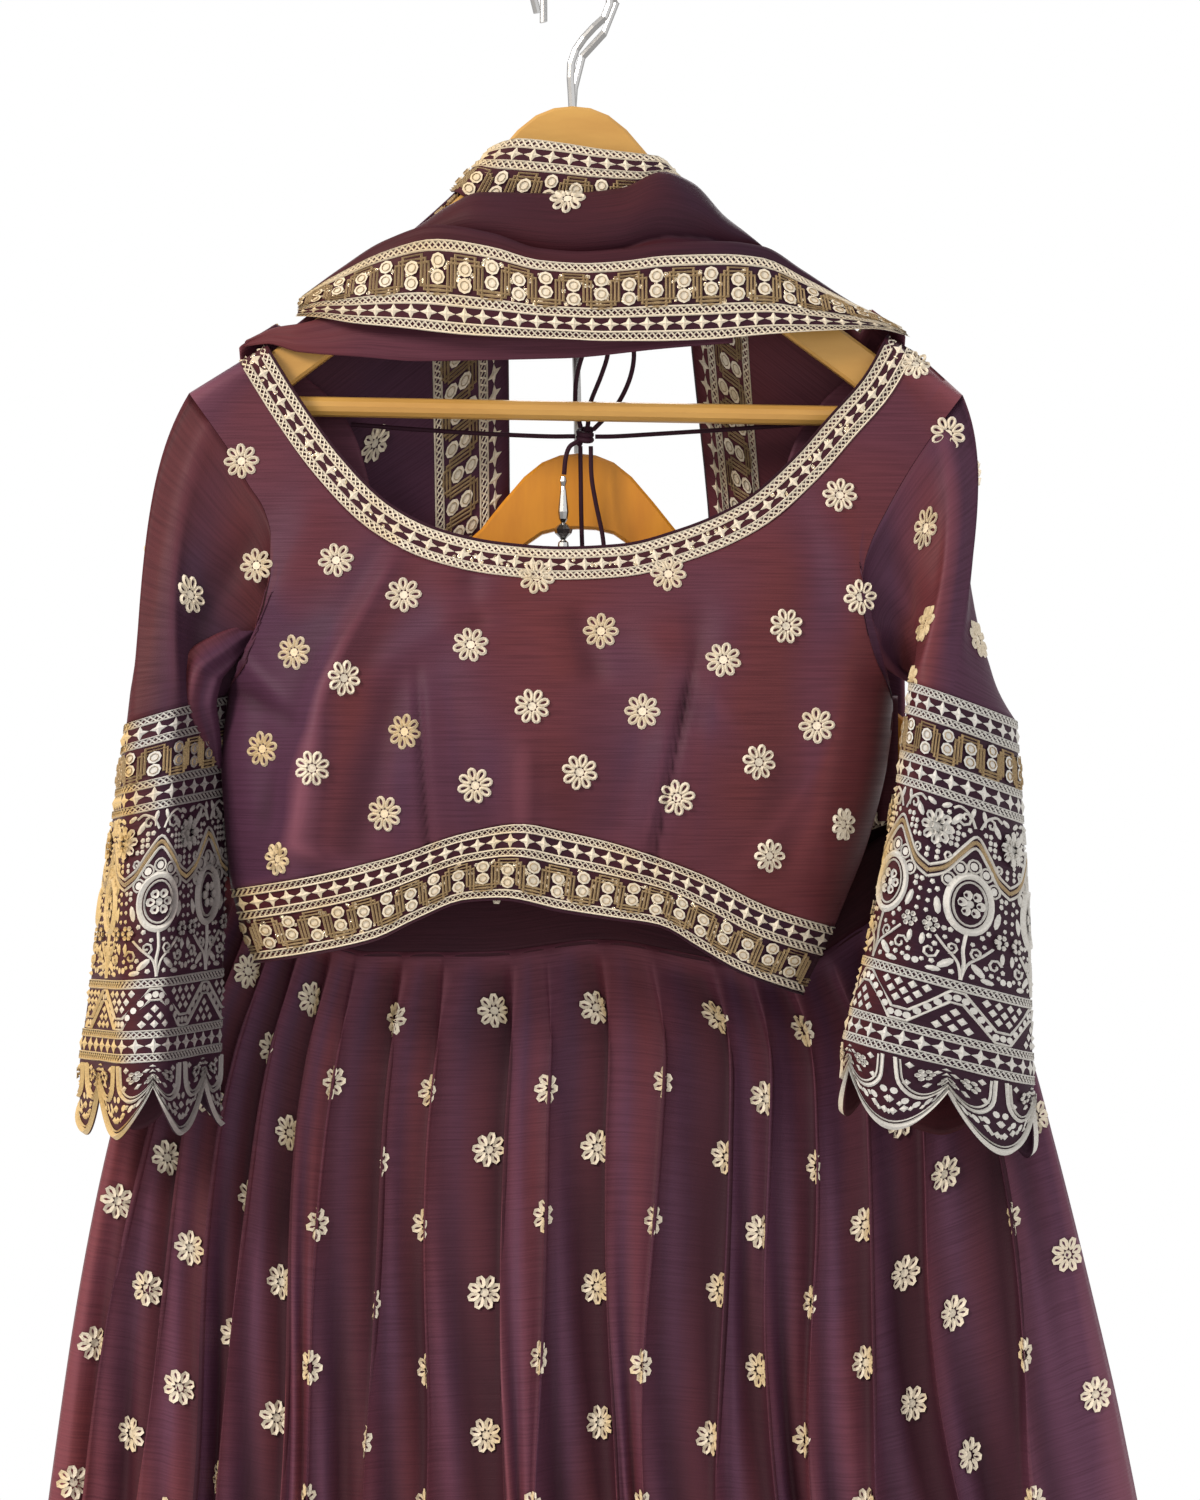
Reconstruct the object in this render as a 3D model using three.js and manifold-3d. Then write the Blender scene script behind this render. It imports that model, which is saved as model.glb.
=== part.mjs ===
// A lehenga set on two wooden hangers: a short embroidered blouse (choli) with scalloped sleeves and a
// back tie (dori), a long pleated skirt, and a long scarf (dupatta) wound round the hanger's neck.
// Millimetres, +Z up. The front faces -Y and +X is the viewer's right. The origin is the point inside
// the blouse hanger's hook that rests on the rail. Left and right are the viewer's.
import * as THREE from 'three';
import { mergeVertices } from 'three/addons/utils/BufferGeometryUtils.js';
import Module from 'manifold-3d';

const wasm = await Module();
wasm.setup();

// ---- Driving dimensions -----------------------------------------------------------------------
const CLOTH = 2; // thickness of a cloth wall
const SEAM = 0.3; // gap between pieces that are sewn together
const SIDE_GAP = 2.8; // gap between the outer faces of two panels at a side seam
const WOOD = 12; // thickness of a hanger's wood
const WIRE = 2.2; // radius of a hook's wire
const RAIL_CLEAR = 19; // inner radius of a hook
const HOOK_DROP = 80; // from the rail to the peak of the blouse hanger
const SKIRT_HANGER = { x: 3, y: 34, peak: -269 }; // the hanger behind, on a long hook
const BAR = { radius: 5.5, reach: 186, z: -247.5, tilt: 0.018 };
const CORD = 1.3; // radius of the tie
const SKIRT_HEM = -1545;
const BAND_HEIGHT = 34;

const HUES = {
  plum: [0x6e3f4a, 0.62, 0],
  thread: [0xdfd3bd, 0.6, 0],
  wood: [0xe2b478, 0.5, 0],
  woodDark: [0xd6933a, 0.5, 0],
  chrome: [0xc9ccd0, 0.18, 1],
};

// ---- Tables -----------------------------------------------------------------------------------
const table = (columns, ...rows) =>
  rows.map((row) => Object.fromEntries(columns.split(' ').map((name, i) => [name, row[i]])));

// Half of a hanger's wood, measured down from its peak.
const WOOD_OUTLINE = table('x top bottom', [0, 0, 42], [10, 1, 42.5], [20, 5, 45], [30, 13, 52],
  [42, 27, 63], [54, 42, 75], [100, 84, 113], [150, 124, 150], [180, 146, 174], [192, 157, 178],
  [197, 165, 172]);

// Blouse outlines as seen from the front.
const FRONT_NECK = table('x z', [-168, -211], [-148, -243], [-126, -273], [-99, -300], [-72, -314],
  [-39, -321.5], [-6, -324], [26, -322.5], [59, -314], [92, -299], [119, -276], [141, -251], [160, -229],
  [173, -206]);
const BACK_NECK = table('x z', [-168, -211], [-146, -229], [-130, -244], [-119, -264], [-109, -300],
  [-96, -342], [-60, -374], [2, -385], [62, -374], [98, -342], [112, -300], [123, -264], [137, -243],
  [158, -223], [173, -206]);
const LEFT_SIDE = table('x z', [-211, -237.5], [-197, -257], [-188, -270], [-177, -289], [-168, -303],
  [-164, -318], [-164, -335], [-167, -353], [-172, -368], [-178, -388], [-190, -404], [-194, -430],
  [-192, -470], [-188, -511]);
const RIGHT_SIDE = table('x z', [215, -238.5], [196, -264], [184, -282], [172, -303], [163, -321],
  [158.5, -336], [157.5, -350], [160, -367], [165, -384], [172, -398], [177, -412], [174, -440],
  [164, -482], [144.4, -531.8]);
const HEM_TOP = table('x z', [-188, -511], [-138, -502], [-97, -492], [-57, -479], [-27, -474],
  [-6, -478], [24, -485], [69, -501], [108, -520], [144.4, -531.8]);
const HEM_LOW = table('x z', [-174, -551.5], [-142, -546], [-107, -538], [-83, -526.5], [-57, -516.5],
  [-38, -515.5], [-6, -522], [20, -526], [47, -530], [68, -542], [90, -555], [126, -569]);
// Sides of the blouse, its most forward and rearward cloth, and how far the panels turn in at the sides.
const BODY = table('z left right front back edge', [-575, -168, 124, -40, 12, 2],
  [-551, -176, 136, -44, 12, 2], [-532, -183, 144.4, -49, 12, 2], [-511, -188, 153, -54, 13, 2],
  [-475, -192, 166, -62, 14, 2], [-440, -194, 174, -65, 14, 2], [-400, -190, 178, -60, 14, 2],
  [-388, -192, 184, -57, 14, 2], [-340, -206, 204, -44, 13, -4], [-300, -214, 216, -29, 13, -8],
  [-240, -226, 230, -15, 13, -10], [-200, -230, 236, -12, 12, -10]);
const NECK_BORDER = 18;

// Sleeve rings below the shoulder: centre, half length and half breadth of the flattened tube, how far it
// is turned from the front (degrees), and how its ring tilts sideways (rise per mm towards the outside).
const SLEEVE_RIGHT = table('v x y z long wide turn tilt', [0, 214, -22, -408, 41, 20, 50, -0.34],
  [0.3, 212, -25, -468, 48, 21, 46, -0.32], [0.65, 207, -28, -540, 56, 21, 40, -0.29],
  [1, 200, -31, -608, 65, 21, 35, -0.27]);
const SLEEVE_LEFT = table('v x y z long wide turn tilt', [0, -215, -22, -412, 36, 19, 52, 0.3],
  [0.3, -221, -27, -470, 45, 21, 54, 0.2], [0.65, -230, -31, -540, 50, 22, 54, 0.1],
  [1, -241, -35, -606, 54, 20, 54, 0.05]);
const SCALLOPS = { count: 5, drop: 38 };

// Skirt: its outline below the waistband, and how deep its pleats stand.
const SKIRT = table('z left right front back pleat', [SKIRT_HEM, -378, 408, -108, 152, 15],
  [-1250, -338, 372, -84, 130, 14], [-1000, -310, 340, -56, 108, 12.5], [-810, -286, 306, -28, 88, 11],
  [-735, -275, 289, -14, 78, 10], [-650, -258, 268, 2, 66, 8.5], [-600, -243, 254, 11.5, 60, 6.5],
  [-560, -224, 231, 17, 55, 3], [-500, -194, 189, 19, 51, 2.2]);
const BAND_LINE = table('x front back', [-196, -504, -504], [-150, -530, -522], [-102, -549, -536],
  [-50, -549, -545], [10, -542, -547], [60, -552, -543], [90, -557, -538], [140, -536, -523],
  [190, -505, -505]);
// One row for each pleat: its share of the panel's width at the waistband and lower down, and its depth.
const FRONT_PLEATS = table('top low depth', [28, 40, 0.8], [22, 55, 1], [28, 40, 0.7], [27, 40, 1],
  [31, 55, 0.9], [24, 20, 0.4], [41, 69, 1], [37, 45, 0.8], [59, 77, 1.1], [31, 40, 0.35], [48, 66, 1],
  [44, 30, 0.5], [52, 76, 1.1], [32, 43, 0.7], [32, 45, 1], [42, 60, 0.8], [45, 70, 1], [43, 90, 1],
  [42, 97, 0.9]);
const BACK_PLEATS = table('top low depth', [44, 80, 0.9], [36, 60, 0.7], [42, 55, 1], [30, 48, 0.6],
  [46, 62, 1.1], [38, 50, 0.8], [44, 58, 1], [34, 46, 0.5], [48, 60, 1.1], [36, 52, 0.8], [44, 62, 1],
  [32, 44, 0.6], [42, 60, 1], [38, 56, 0.8], [44, 66, 1], [36, 60, 0.7], [42, 78, 0.9]);

// Dupatta: upper and lower edges of each stretch that crosses the front.
const WRAP_INNER = {
  top: table('x y z', [-46, 1, -103.5], [-40, -7, -101.2], [-31, -11, -98.5], [-7, -13, -101],
    [15, -13, -104.5], [37, -12, -107], [48, -7, -108.4], [55, 1, -114.8]),
  low: table('x y z', [-67, 1, -126.2], [-64, -7, -127.2], [-60, -10.5, -130], [-50, -12, -137],
    [-8, -15, -140], [16, -15, -141], [40, -14, -141], [60, -10.5, -131], [65, -7, -128],
    [68, 1, -127]),
  bulge: 1,
};
const WRAP_MIDDLE = {
  top: table('x y z', [-92, 1, -151.1], [-82, -9, -144.8], [-66, -16, -135], [-50, -20, -129],
    [-7, -22, -130], [26, -21, -127], [50, -17, -117.5], [66, -13, -123], [84, -9, -141], [96, -6, -150],
    [108, 1, -160.2]),
  low: table('x y z', [-106, 1, -161.4], [-101, -7, -160.4], [-92, -12, -168], [-74, -22, -168],
    [-52, -27, -168], [-7, -30, -174], [26, -30, -172], [50, -27, -168], [76, -21, -168],
    [98, -13, -170], [112, -7, -167.4], [124, 1, -175.4]),
  bulge: 7,
};
const WRAP_OUTER = {
  top: table('x y z', [-148, 1.4, -183], [-127, -10, -169.5], [-102, -22, -155.5], [-74, -31, -148],
    [-44, -36, -153], [-18, -38, -161.5], [6, -39, -163.5], [28, -38, -162], [50, -36, -158.5],
    [84, -30, -157], [104, -24, -159], [126, -16, -171], [152, -8, -187], [180, 3, -201]),
  low: table('x y z', [-152, 1.4, -195], [-139, -14, -197], [-120, -23, -201], [-94, -29, -204],
    [-56, -35, -208.6], [-30, -37, -210], [-4, -38, -211], [18, -38, -212], [42, -37, -212],
    [72, -34, -211], [108, -29, -207.5], [140, -22, -205], [166, -15, -203.5], [186, 3, -206]),
  bulge: 3,
};
const WRAP_UNDER = {
  top: table('x y z', [-187, 3, -206], [-166, -4, -200.5], [-150, -9, -200], [-135, -10, -196],
    [-110, -13, -186], [-60, -19, -188], [0, -23, -190], [50, -21, -188], [88, -16, -190]),
  low: table('x y z', [-196, 3, -214], [-174, -8, -210], [-150, -13, -216], [-115, -17, -219],
    [-83, -20, -221.5], [-7, -25, -220.5], [50, -23, -215], [88, -18, -211.5]),
  bulge: 1,
};
// Tails behind: inner and outer edge, and the place of the front layer, with the fall below the hanger.
const TAIL_LEFT = table('fall inner outer y', [0, -48, -184, 4], [12, -44, -184, 16],
  [60, -37, -184, 24], [165, -36, -182, 48], [330, -35, -180, 66], [520, -36, -184, 92],
  [700, -40, -192, 112], [900, -44, -200, 136], [1080, -46, -206, 152]);
const TAIL_RIGHT = table('fall inner outer y', [0, 60, 184, 4], [12, 61, 184, 16], [60, 65, 184, 24],
  [165, 78, 186, 48], [330, 86, 190, 66], [520, 90, 197, 92], [700, 93, 206, 112], [900, 96, 215, 136],
  [1080, 99, 222, 152]);
const TAIL_LAYERS = 3;
const TAIL_GAP = 5;

// The tie: its two spans, the bow's loops, and the ends.
const KNOT = { x: 7, y: 13, z: -260.5, radius: 5 };
const TIE = {
  dori_left_span: table('x y z', [-122.4, 12, -254], [-90, 12.5, -256.5], [-50, 13, -259],
    [-15, 13, -260.5], [1.6, 13, -260.5]),
  dori_left_loop: table('x y z', [4.6, 12.2, -255.5], [2.6, 9.5, -247.5], [1.6, 8.6, -240.5],
    [2.6, 4, -227.5], [7, -4, -213.5], [13, -8, -204.5], [19, -6, -208.5], [19.5, -2, -216.5],
    [16, 4, -227.5], [10.6, 9, -240.5], [9, 11, -247.5], [8.4, 13.5, -255.1]),
  dori_left_tail: table('x y z', [3, 10.3, -263.4], [-1.4, 8.5, -266.5], [-3.6, 8, -272.5],
    [-4.6, 8.4, -282]),
  dori_right_span: table('x y z', [126.2, 12, -254], [90, 12.5, -256.5], [50, 13, -259],
    [25, 13, -260.5], [12.6, 13, -260.7]),
  dori_right_loop: table('x y z', [4.4, 14.4, -265.9], [4.6, 14.4, -282.5], [5, 14.4, -307.5],
    [6, 14.4, -337.5], [7, 14.4, -359.5], [12, 14.4, -369.5], [17, 14.4, -361.5], [18, 14.4, -337.5],
    [17, 14.4, -317.5], [13, 14.4, -297.5], [10.6, 14.4, -282.5], [10.2, 14.4, -265.9]),
  dori_right_end: table('x y z', [11.6, 12.4, -256.9], [20, 9.6, -248.5], [26.5, 8.8, -240.5],
    [32, 4, -228.5], [34, -3, -216.5], [32, -8, -205.5]),
};
// Half outline of the metal drop at the end of the tie, from its tip to its eye.
const DROP = { x: -5, y: 8.4, top: -282.5 };
const DROP_OUTLINE = table('r z', [0, -48], [2.6, -47], [3.4, -42], [2.8, -37], [1.2, -35.6], [2, -34.4],
  [4.6, -32], [5.2, -29.6], [3, -27.4], [1.2, -26.2], [2.4, -24], [2.9, -20], [1.6, -8], [1.1, -6],
  [1.9, -3], [1.3, -0.6], [0, 0]);

// ---- Reading a table as a smooth curve ---------------------------------------------------------
function read(rows, along, column, place) {
  const sign = rows[rows.length - 1][along] > rows[0][along] ? 1 : -1;
  const last = rows.length - 1;
  let i = 0;
  while (i < last - 1 && sign * place > sign * rows[i + 1][along]) i += 1;
  const slope = (k) => (rows[k + 1][column] - rows[k][column]) / (rows[k + 1][along] - rows[k][along]);
  const tangent = (k) => {
    if (k === 0) return slope(0);
    if (k === last) return slope(last - 1);
    const [a, b] = [slope(k - 1), slope(k)];
    return a * b > 0 ? (2 * a * b) / (a + b) : 0;
  };
  const span = rows[i + 1][along] - rows[i][along];
  const t = THREE.MathUtils.clamp((place - rows[i][along]) / span, 0, 1);
  const [t2, t3] = [t * t, t * t * t];
  return (2 * t3 - 3 * t2 + 1) * rows[i][column] + (t3 - 2 * t2 + t) * span * tangent(i)
    + (3 * t2 - 2 * t3) * rows[i + 1][column] + (t3 - t2) * span * tangent(i + 1);
}

// The rows with a column s added, their share of the length of the line through them.
function measured(rows) {
  const far = (a, b) => Math.hypot(b.x - a.x, (b.y ?? 0) - (a.y ?? 0), b.z - a.z);
  let run = 0;
  const placed = rows.map((row, i) => ({ ...row, s: (run += i ? far(rows[i - 1], row) : 0) }));
  return placed.map((row) => ({ ...row, s: row.s / run }));
}

const measuredLength = (rows) => rows.slice(1).reduce((sum, row, i) =>
  sum + Math.hypot(row.x - rows[i].x, row.y - rows[i].y, row.z - rows[i].z), 0);

const lerp = THREE.MathUtils.lerp;
const ease = (place, from, to) => THREE.MathUtils.smoothstep(place, from, to);

// ---- Solids -----------------------------------------------------------------------------------
const lehenga = new THREE.Group();

function add(name, geometry, hue) {
  const [color, roughness, metalness] = HUES[hue];
  const mesh = new THREE.Mesh(geometry, new THREE.MeshStandardMaterial({ color, roughness, metalness }));
  mesh.name = name;
  lehenga.add(mesh);
  return mesh;
}

function meshOf(points, faces) {
  const geometry = new THREE.BufferGeometry();
  const places = points.flatMap((p) => [p.x, p.y, p.z]);
  geometry.setAttribute('position', new THREE.Float32BufferAttribute(places, 3));
  const volume = faces.reduce((sum, [a, b, c]) => sum + points[a].dot(points[b].clone().cross(points[c])), 0);
  geometry.setIndex(volume > 0 ? faces.flat() : faces.flatMap(([a, b, c]) => [a, c, b]));
  geometry.computeVertexNormals();
  return geometry;
}

// A wall of cloth. at(u, v) gives its face, us and vs are the grid's places, and back is which way the
// thickness goes along the face's normal: 1 or -1. A round wall closes on itself along u. Where level
// holds, the thickness is taken level.
function wall({ us, vs, at, thick, back, round = false, level = () => false }) {
  const [nu, nv] = [us.length, vs.length];
  const face = us.map((u) => vs.map((v) => at(u, v)));
  const column = (i) => (round ? face[(i + nu) % nu] : face[THREE.MathUtils.clamp(i, 0, nu - 1)]);
  const points = [];
  for (let i = 0; i < nu; i += 1) {
    for (let j = 0; j < nv; j += 1) {
      const across = column(i + 1)[j].clone().sub(column(i - 1)[j]);
      const down = face[i][Math.min(j + 1, nv - 1)].clone().sub(face[i][Math.max(j - 1, 0)]);
      const depth = typeof thick === 'function' ? thick(us[i], vs[j]) : thick;
      const normal = across.cross(down);
      if (level(vs[j])) normal.z = 0;
      const inner = face[i][j].clone().addScaledVector(normal.normalize(), back * depth);
      points.push(face[i][j], inner);
    }
  }
  const id = (i, j, side) => 2 * ((i % nu) * nv + j) + side;
  const faces = [];
  const quad = (a, b, c, d) => faces.push([a, b, c], [a, c, d]);
  const last = round ? nu : nu - 1;
  for (let i = 0; i < last; i += 1) {
    for (let j = 0; j < nv - 1; j += 1) {
      quad(id(i, j, 0), id(i + 1, j, 0), id(i + 1, j + 1, 0), id(i, j + 1, 0));
      quad(id(i, j, 1), id(i, j + 1, 1), id(i + 1, j + 1, 1), id(i + 1, j, 1));
    }
    quad(id(i, 0, 0), id(i, 0, 1), id(i + 1, 0, 1), id(i + 1, 0, 0));
    quad(id(i, nv - 1, 0), id(i + 1, nv - 1, 0), id(i + 1, nv - 1, 1), id(i, nv - 1, 1));
  }
  if (!round) {
    for (let j = 0; j < nv - 1; j += 1) {
      quad(id(0, j, 0), id(0, j + 1, 0), id(0, j + 1, 1), id(0, j, 1));
      quad(id(nu - 1, j, 0), id(nu - 1, j, 1), id(nu - 1, j + 1, 1), id(nu - 1, j + 1, 0));
    }
  }
  return meshOf(points, faces);
}

const steps = (count) => Array.from({ length: count + 1 }, (_, i) => i / count);
const around = (count) => Array.from({ length: count }, (_, i) => i / count);

function tube(rows, radius, sides, count) {
  const section = new THREE.Shape(Array.from({ length: sides }, (_, k) => {
    const angle = (2 * Math.PI * k) / sides;
    return new THREE.Vector2(radius * Math.cos(angle), radius * Math.sin(angle));
  }));
  const extrudePath = new THREE.CatmullRomCurve3(rows.map((r) => new THREE.Vector3(r.x, r.y, r.z)));
  return new THREE.ExtrudeGeometry(section, { steps: count, extrudePath, bevelEnabled: false });
}

function manifold(geometry) {
  const bare = geometry.clone();
  bare.deleteAttribute('normal');
  bare.deleteAttribute('uv');
  const merged = mergeVertices(bare, 1e-4);
  const triVerts = new Uint32Array(merged.index.array);
  const vertProperties = new Float32Array(merged.attributes.position.array);
  return new wasm.Manifold(new wasm.Mesh({ numProp: 3, vertProperties, triVerts }));
}

function geometryOf(solid) {
  const { vertProperties, triVerts } = solid.getMesh();
  const geometry = new THREE.BufferGeometry();
  geometry.setAttribute('position', new THREE.BufferAttribute(new Float32Array(vertProperties), 3));
  geometry.setIndex(new THREE.BufferAttribute(new Uint32Array(triVerts), 1));
  geometry.computeVertexNormals();
  return geometry;
}

// ---- Hangers ----------------------------------------------------------------------------------
function woodGeometry(x, y, peak) {
  const round = 1.6;
  const point = (row, sign, edge) => new THREE.Vector2(x + sign * row.x, peak - row[edge]);
  const side = (sign, edge) => WOOD_OUTLINE.map((row) => point(row, sign, edge));
  const upper = [...side(-1, 'top').reverse(), ...side(1, 'top').slice(1)];
  const outline = [...upper, ...side(1, 'bottom').reverse(), ...side(-1, 'bottom').slice(1)];
  const shape = new THREE.Shape(outline);
  const geometry = new THREE.ExtrudeGeometry(shape, {
    depth: WOOD - 2 * round,
    bevelThickness: round,
    bevelSize: round,
    bevelOffset: -round,
    bevelSegments: 1,
    curveSegments: 1,
  });
  geometry.rotateX(Math.PI / 2);
  geometry.translate(0, y + WOOD / 2 - round, 0);
  return geometry;
}

function hookGeometry(x, y, foot) {
  const r = RAIL_CLEAR + WIRE;
  const centre = -RAIL_CLEAR;
  const bend = [-62, -35, 0, 30, 60, 90, 120, 150, 180, 205].map((degrees) => {
    const angle = (degrees * Math.PI) / 180;
    return { x: x + r * Math.cos(angle), y, z: centre + r * Math.sin(angle) };
  });
  return tube([{ x, y, z: foot }, { x, y, z: centre - 34 }, ...bend], WIRE, 8, 18);
}

const barRod = (radius, reach) => {
  const rod = new THREE.CylinderGeometry(radius, radius, 2 * reach, 12);
  rod.rotateZ(Math.PI / 2);
  rod.rotateY(Math.atan(BAR.tilt));
  rod.translate(0, 0, BAR.z);
  return rod;
};
const barHole = manifold(barRod(BAR.radius + SEAM, BAR.reach + SEAM));
const blouseWood = manifold(woodGeometry(0, 0, -HOOK_DROP)).subtract(barHole);
add('hanger_wood', geometryOf(blouseWood), 'wood');
add('hanger_bar', barRod(BAR.radius, BAR.reach), 'wood');
add('hanger_hook', hookGeometry(0, 0, -HOOK_DROP + SEAM), 'chrome');
add('skirt_hanger_wood', woodGeometry(SKIRT_HANGER.x, SKIRT_HANGER.y, SKIRT_HANGER.peak), 'woodDark');
add('skirt_hanger_hook', hookGeometry(SKIRT_HANGER.x, SKIRT_HANGER.y, SKIRT_HANGER.peak + SEAM), 'chrome');

// ---- Blouse -----------------------------------------------------------------------------------
const lines = {
  left: measured(LEFT_SIDE),
  right: measured(RIGHT_SIDE),
  low: measured(HEM_LOW),
  top: measured(HEM_TOP),
};
const necks = { front: measured(FRONT_NECK), back: measured(BACK_NECK) };
const on = (line, s) => ({ x: read(line, 's', 'x', s), z: read(line, 's', 'z', s) });

const shoulderLine = (x) => {
  const tip = (x < 0 ? LEFT_SIDE : RIGHT_SIDE)[0];
  const neck = FRONT_NECK[x < 0 ? 0 : FRONT_NECK.length - 1];
  return lerp(neck.z, tip.z, (x - neck.x) / (tip.x - neck.x));
};

// Depth of the blouse's outer face at a place seen from the front. Side -1 is the front, 1 the back.
function bodyDepth(side, x, z) {
  const [left, right] = [read(BODY, 'z', 'left', z), read(BODY, 'z', 'right', z)];
  const share = Math.min(1, Math.abs((2 * x - left - right) / (right - left)));
  const roll = Math.sqrt(Math.max(0, 1 - share ** 3));
  const edge = read(BODY, 'z', 'edge', z);
  const rim = side < 0 ? edge - SIDE_GAP / 2 : Math.abs(edge) + SIDE_GAP / 2;
  const full = lerp(rim, read(BODY, 'z', side < 0 ? 'front' : 'back', z), roll);
  const drop = THREE.MathUtils.clamp((shoulderLine(x) - z) / 8, 0, 1);
  return lerp(0.7 * side, full, Math.sqrt(1 - (1 - drop) ** 2));
}

const bodyPoint = (side, { x, z }) => new THREE.Vector3(x, bodyDepth(side, x, z), z);

// The neck's line moved into the cloth by the border's width.
function besideNeck(neck, s, width) {
  const [a, b] = [on(neck, Math.max(0, s - 0.01)), on(neck, Math.min(1, s + 0.01))];
  const run = Math.hypot(b.x - a.x, b.z - a.z);
  const at = on(neck, s);
  return { x: at.x + (width * (b.z - a.z)) / run, z: at.z - (width * (b.x - a.x)) / run };
}

// Places down a side seam from the shoulder, with the underarm among them, and along the hem.
const SIDE_PLACES = [0, 0.013, 0.035, 0.07, 0.14, 0.21, 0.28, 0.35, 0.41, 0.47, 0.6, 0.74, 0.88];
const HEM_PLACES = steps(18);
const SIDE_SHARE = 0.31; // share of a panel's round that each side takes, the hem taking the rest
const panelPlaces = [
  ...SIDE_PLACES.map((t) => SIDE_SHARE * t),
  ...HEM_PLACES.map((t) => SIDE_SHARE + (1 - 2 * SIDE_SHARE) * t),
  ...[...SIDE_PLACES].reverse().map((t) => 1 - SIDE_SHARE * t),
];

// A blouse panel: u goes round it from shoulder to shoulder, v from its neck line (moved in by inset) to
// the left side, the top of the hem border and the right side.
function panelPoint(side, neck, inset) {
  const rim = (u) => {
    if (u < SIDE_SHARE) return on(lines.left, u / SIDE_SHARE);
    if (u > 1 - SIDE_SHARE) return on(lines.right, (1 - u) / SIDE_SHARE);
    return on(lines.top, (u - SIDE_SHARE) / (1 - 2 * SIDE_SHARE));
  };
  return (u, v) => {
    const [a, b] = [besideNeck(neck, u, inset), rim(u)];
    return bodyPoint(side, { x: lerp(a.x, b.x, v), z: lerp(a.z, b.z, v) });
  };
}
const panelFront = { us: panelPlaces, vs: steps(7), at: panelPoint(-1, necks.front, NECK_BORDER) };
const panelBack = { us: panelPlaces, vs: steps(6), at: panelPoint(1, necks.back, 0) };
add('choli_front', wall({ ...panelFront, thick: CLOTH, back: 1 }), 'plum');
add('choli_back', wall({ ...panelBack, thick: CLOTH, back: -1 }), 'plum');

// The border stops just short of the panel, with more room at the shoulders.
function neckPoint(u, v) {
  const width = NECK_BORDER - 2 + 1.5 * ease(Math.min(u, 1 - u), 0, 0.08);
  return bodyPoint(-1, besideNeck(necks.front, u, width * v));
}
add('neck_border', wall({ us: panelPlaces, vs: [0, 0.5, 1], at: neckPoint, thick: CLOTH, back: 1 }), 'thread');

function hemPoint(side) {
  return (u, v) => {
    const [a, b] = [on(lines.top, u), on(lines.low, u)];
    const place = lerp((3 * SEAM) / 45, 1, v);
    return bodyPoint(side, { x: lerp(a.x, b.x, place), z: lerp(a.z, b.z, place) });
  };
}
const hem = { us: HEM_PLACES, vs: steps(3), thick: CLOTH };
add('hem_border_front', wall({ ...hem, at: hemPoint(-1), back: 1 }), 'thread');
add('hem_border_back', wall({ ...hem, at: hemPoint(1), back: -1 }), 'thread');

// ---- Sleeves ----------------------------------------------------------------------------------
const RIDGE = 0.12; // place round the sleeve of its front fold
const HEAD = 13; // how far the sleeve's head stands out beyond the armhole
function ringPoint(rows, side, u, v) {
  const at = (column) => read(rows, 'v', column, v);
  const turn = THREE.MathUtils.degToRad(at('turn'));
  const angle = 2 * Math.PI * (u - RIDGE);
  const along = -at('long') * Math.cos(angle);
  const over = at('wide') * Math.sin(angle);
  const x = side * (Math.cos(turn) * along - Math.sin(turn) * over);
  const y = Math.sin(turn) * along + Math.cos(turn) * over;
  return new THREE.Vector3(at('x') + x, at('y') + y, at('z') + at('tilt') * x);
}

// The armhole: u runs from the shoulder's tip down the front to the underarm and up the back.
const UNDERARM = 0.47;
const halfRound = SIDE_PLACES.filter((t) => t <= UNDERARM).map((t) => t / (2 * UNDERARM));
const sleevePlaces = [...halfRound, ...halfRound.slice(1, -1).reverse().map((u) => 1 - u)];
function armhole(name, side, u) {
  const front = u <= 0.5;
  const s = (front ? 2 * u : 2 * (1 - u)) * UNDERARM;
  const point = bodyPoint(front ? -1 : 1, on(lines[name], s));
  const lift = ease(Math.min(u, 1 - u), 0, 0.08);
  point.y = lerp(0, point.y, lift);
  point.x += side * (2.4 + 2.2 * Math.sin(Math.PI * Math.min(1, (0.6 * s) / UNDERARM)));
  return point;
}

function sleevePoint(name, rows, side) {
  return (u, v) => {
    const [from, to] = [armhole(name, side, u), ringPoint(rows, side, u, 0)];
    const t = v * (1 - SEAM / 24);
    const point = from.clone().lerp(to, t);
    point.x += side * 9 * Math.sin(Math.PI * t) * Math.max(0, Math.cos(2 * Math.PI * (u - 0.25)));
    const top = Math.max(0, Math.cos(2 * Math.PI * u));
    point.x += side * HEAD * top * (1 - (1 - t) ** 6) * (1 - t ** 2);
    return point;
  };
}

function cuffPoint(rows, side) {
  return (u, v) => {
    const point = ringPoint(rows, side, u, v);
    const lobe = Math.abs(Math.sin(Math.PI * (SCALLOPS.count * u + 0.5)));
    point.z -= SCALLOPS.drop * Math.sqrt(lobe) * ease(v, 0.6, 1);
    return point;
  };
}

[['left', SLEEVE_LEFT, -1], ['right', SLEEVE_RIGHT, 1]].forEach(([name, rows, side]) => {
  const tubeWall = { thick: CLOTH, back: -side, round: true };
  const sleeve = { us: sleevePlaces, vs: [0, 0.08, 0.2, 0.4, 0.6, 0.8, 1], level: (v) => v === 1 };
  const cuff = { us: around(35), vs: [0, 0.3, 0.6, 0.82, 1], level: (v) => v === 0 };
  add(`sleeve_${name}`, wall({ ...tubeWall, ...sleeve, at: sleevePoint(name, rows, side) }), 'plum');
  add(`cuff_${name}`, wall({ ...tubeWall, ...cuff, at: cuffPoint(rows, side) }), 'thread');
});

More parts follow.
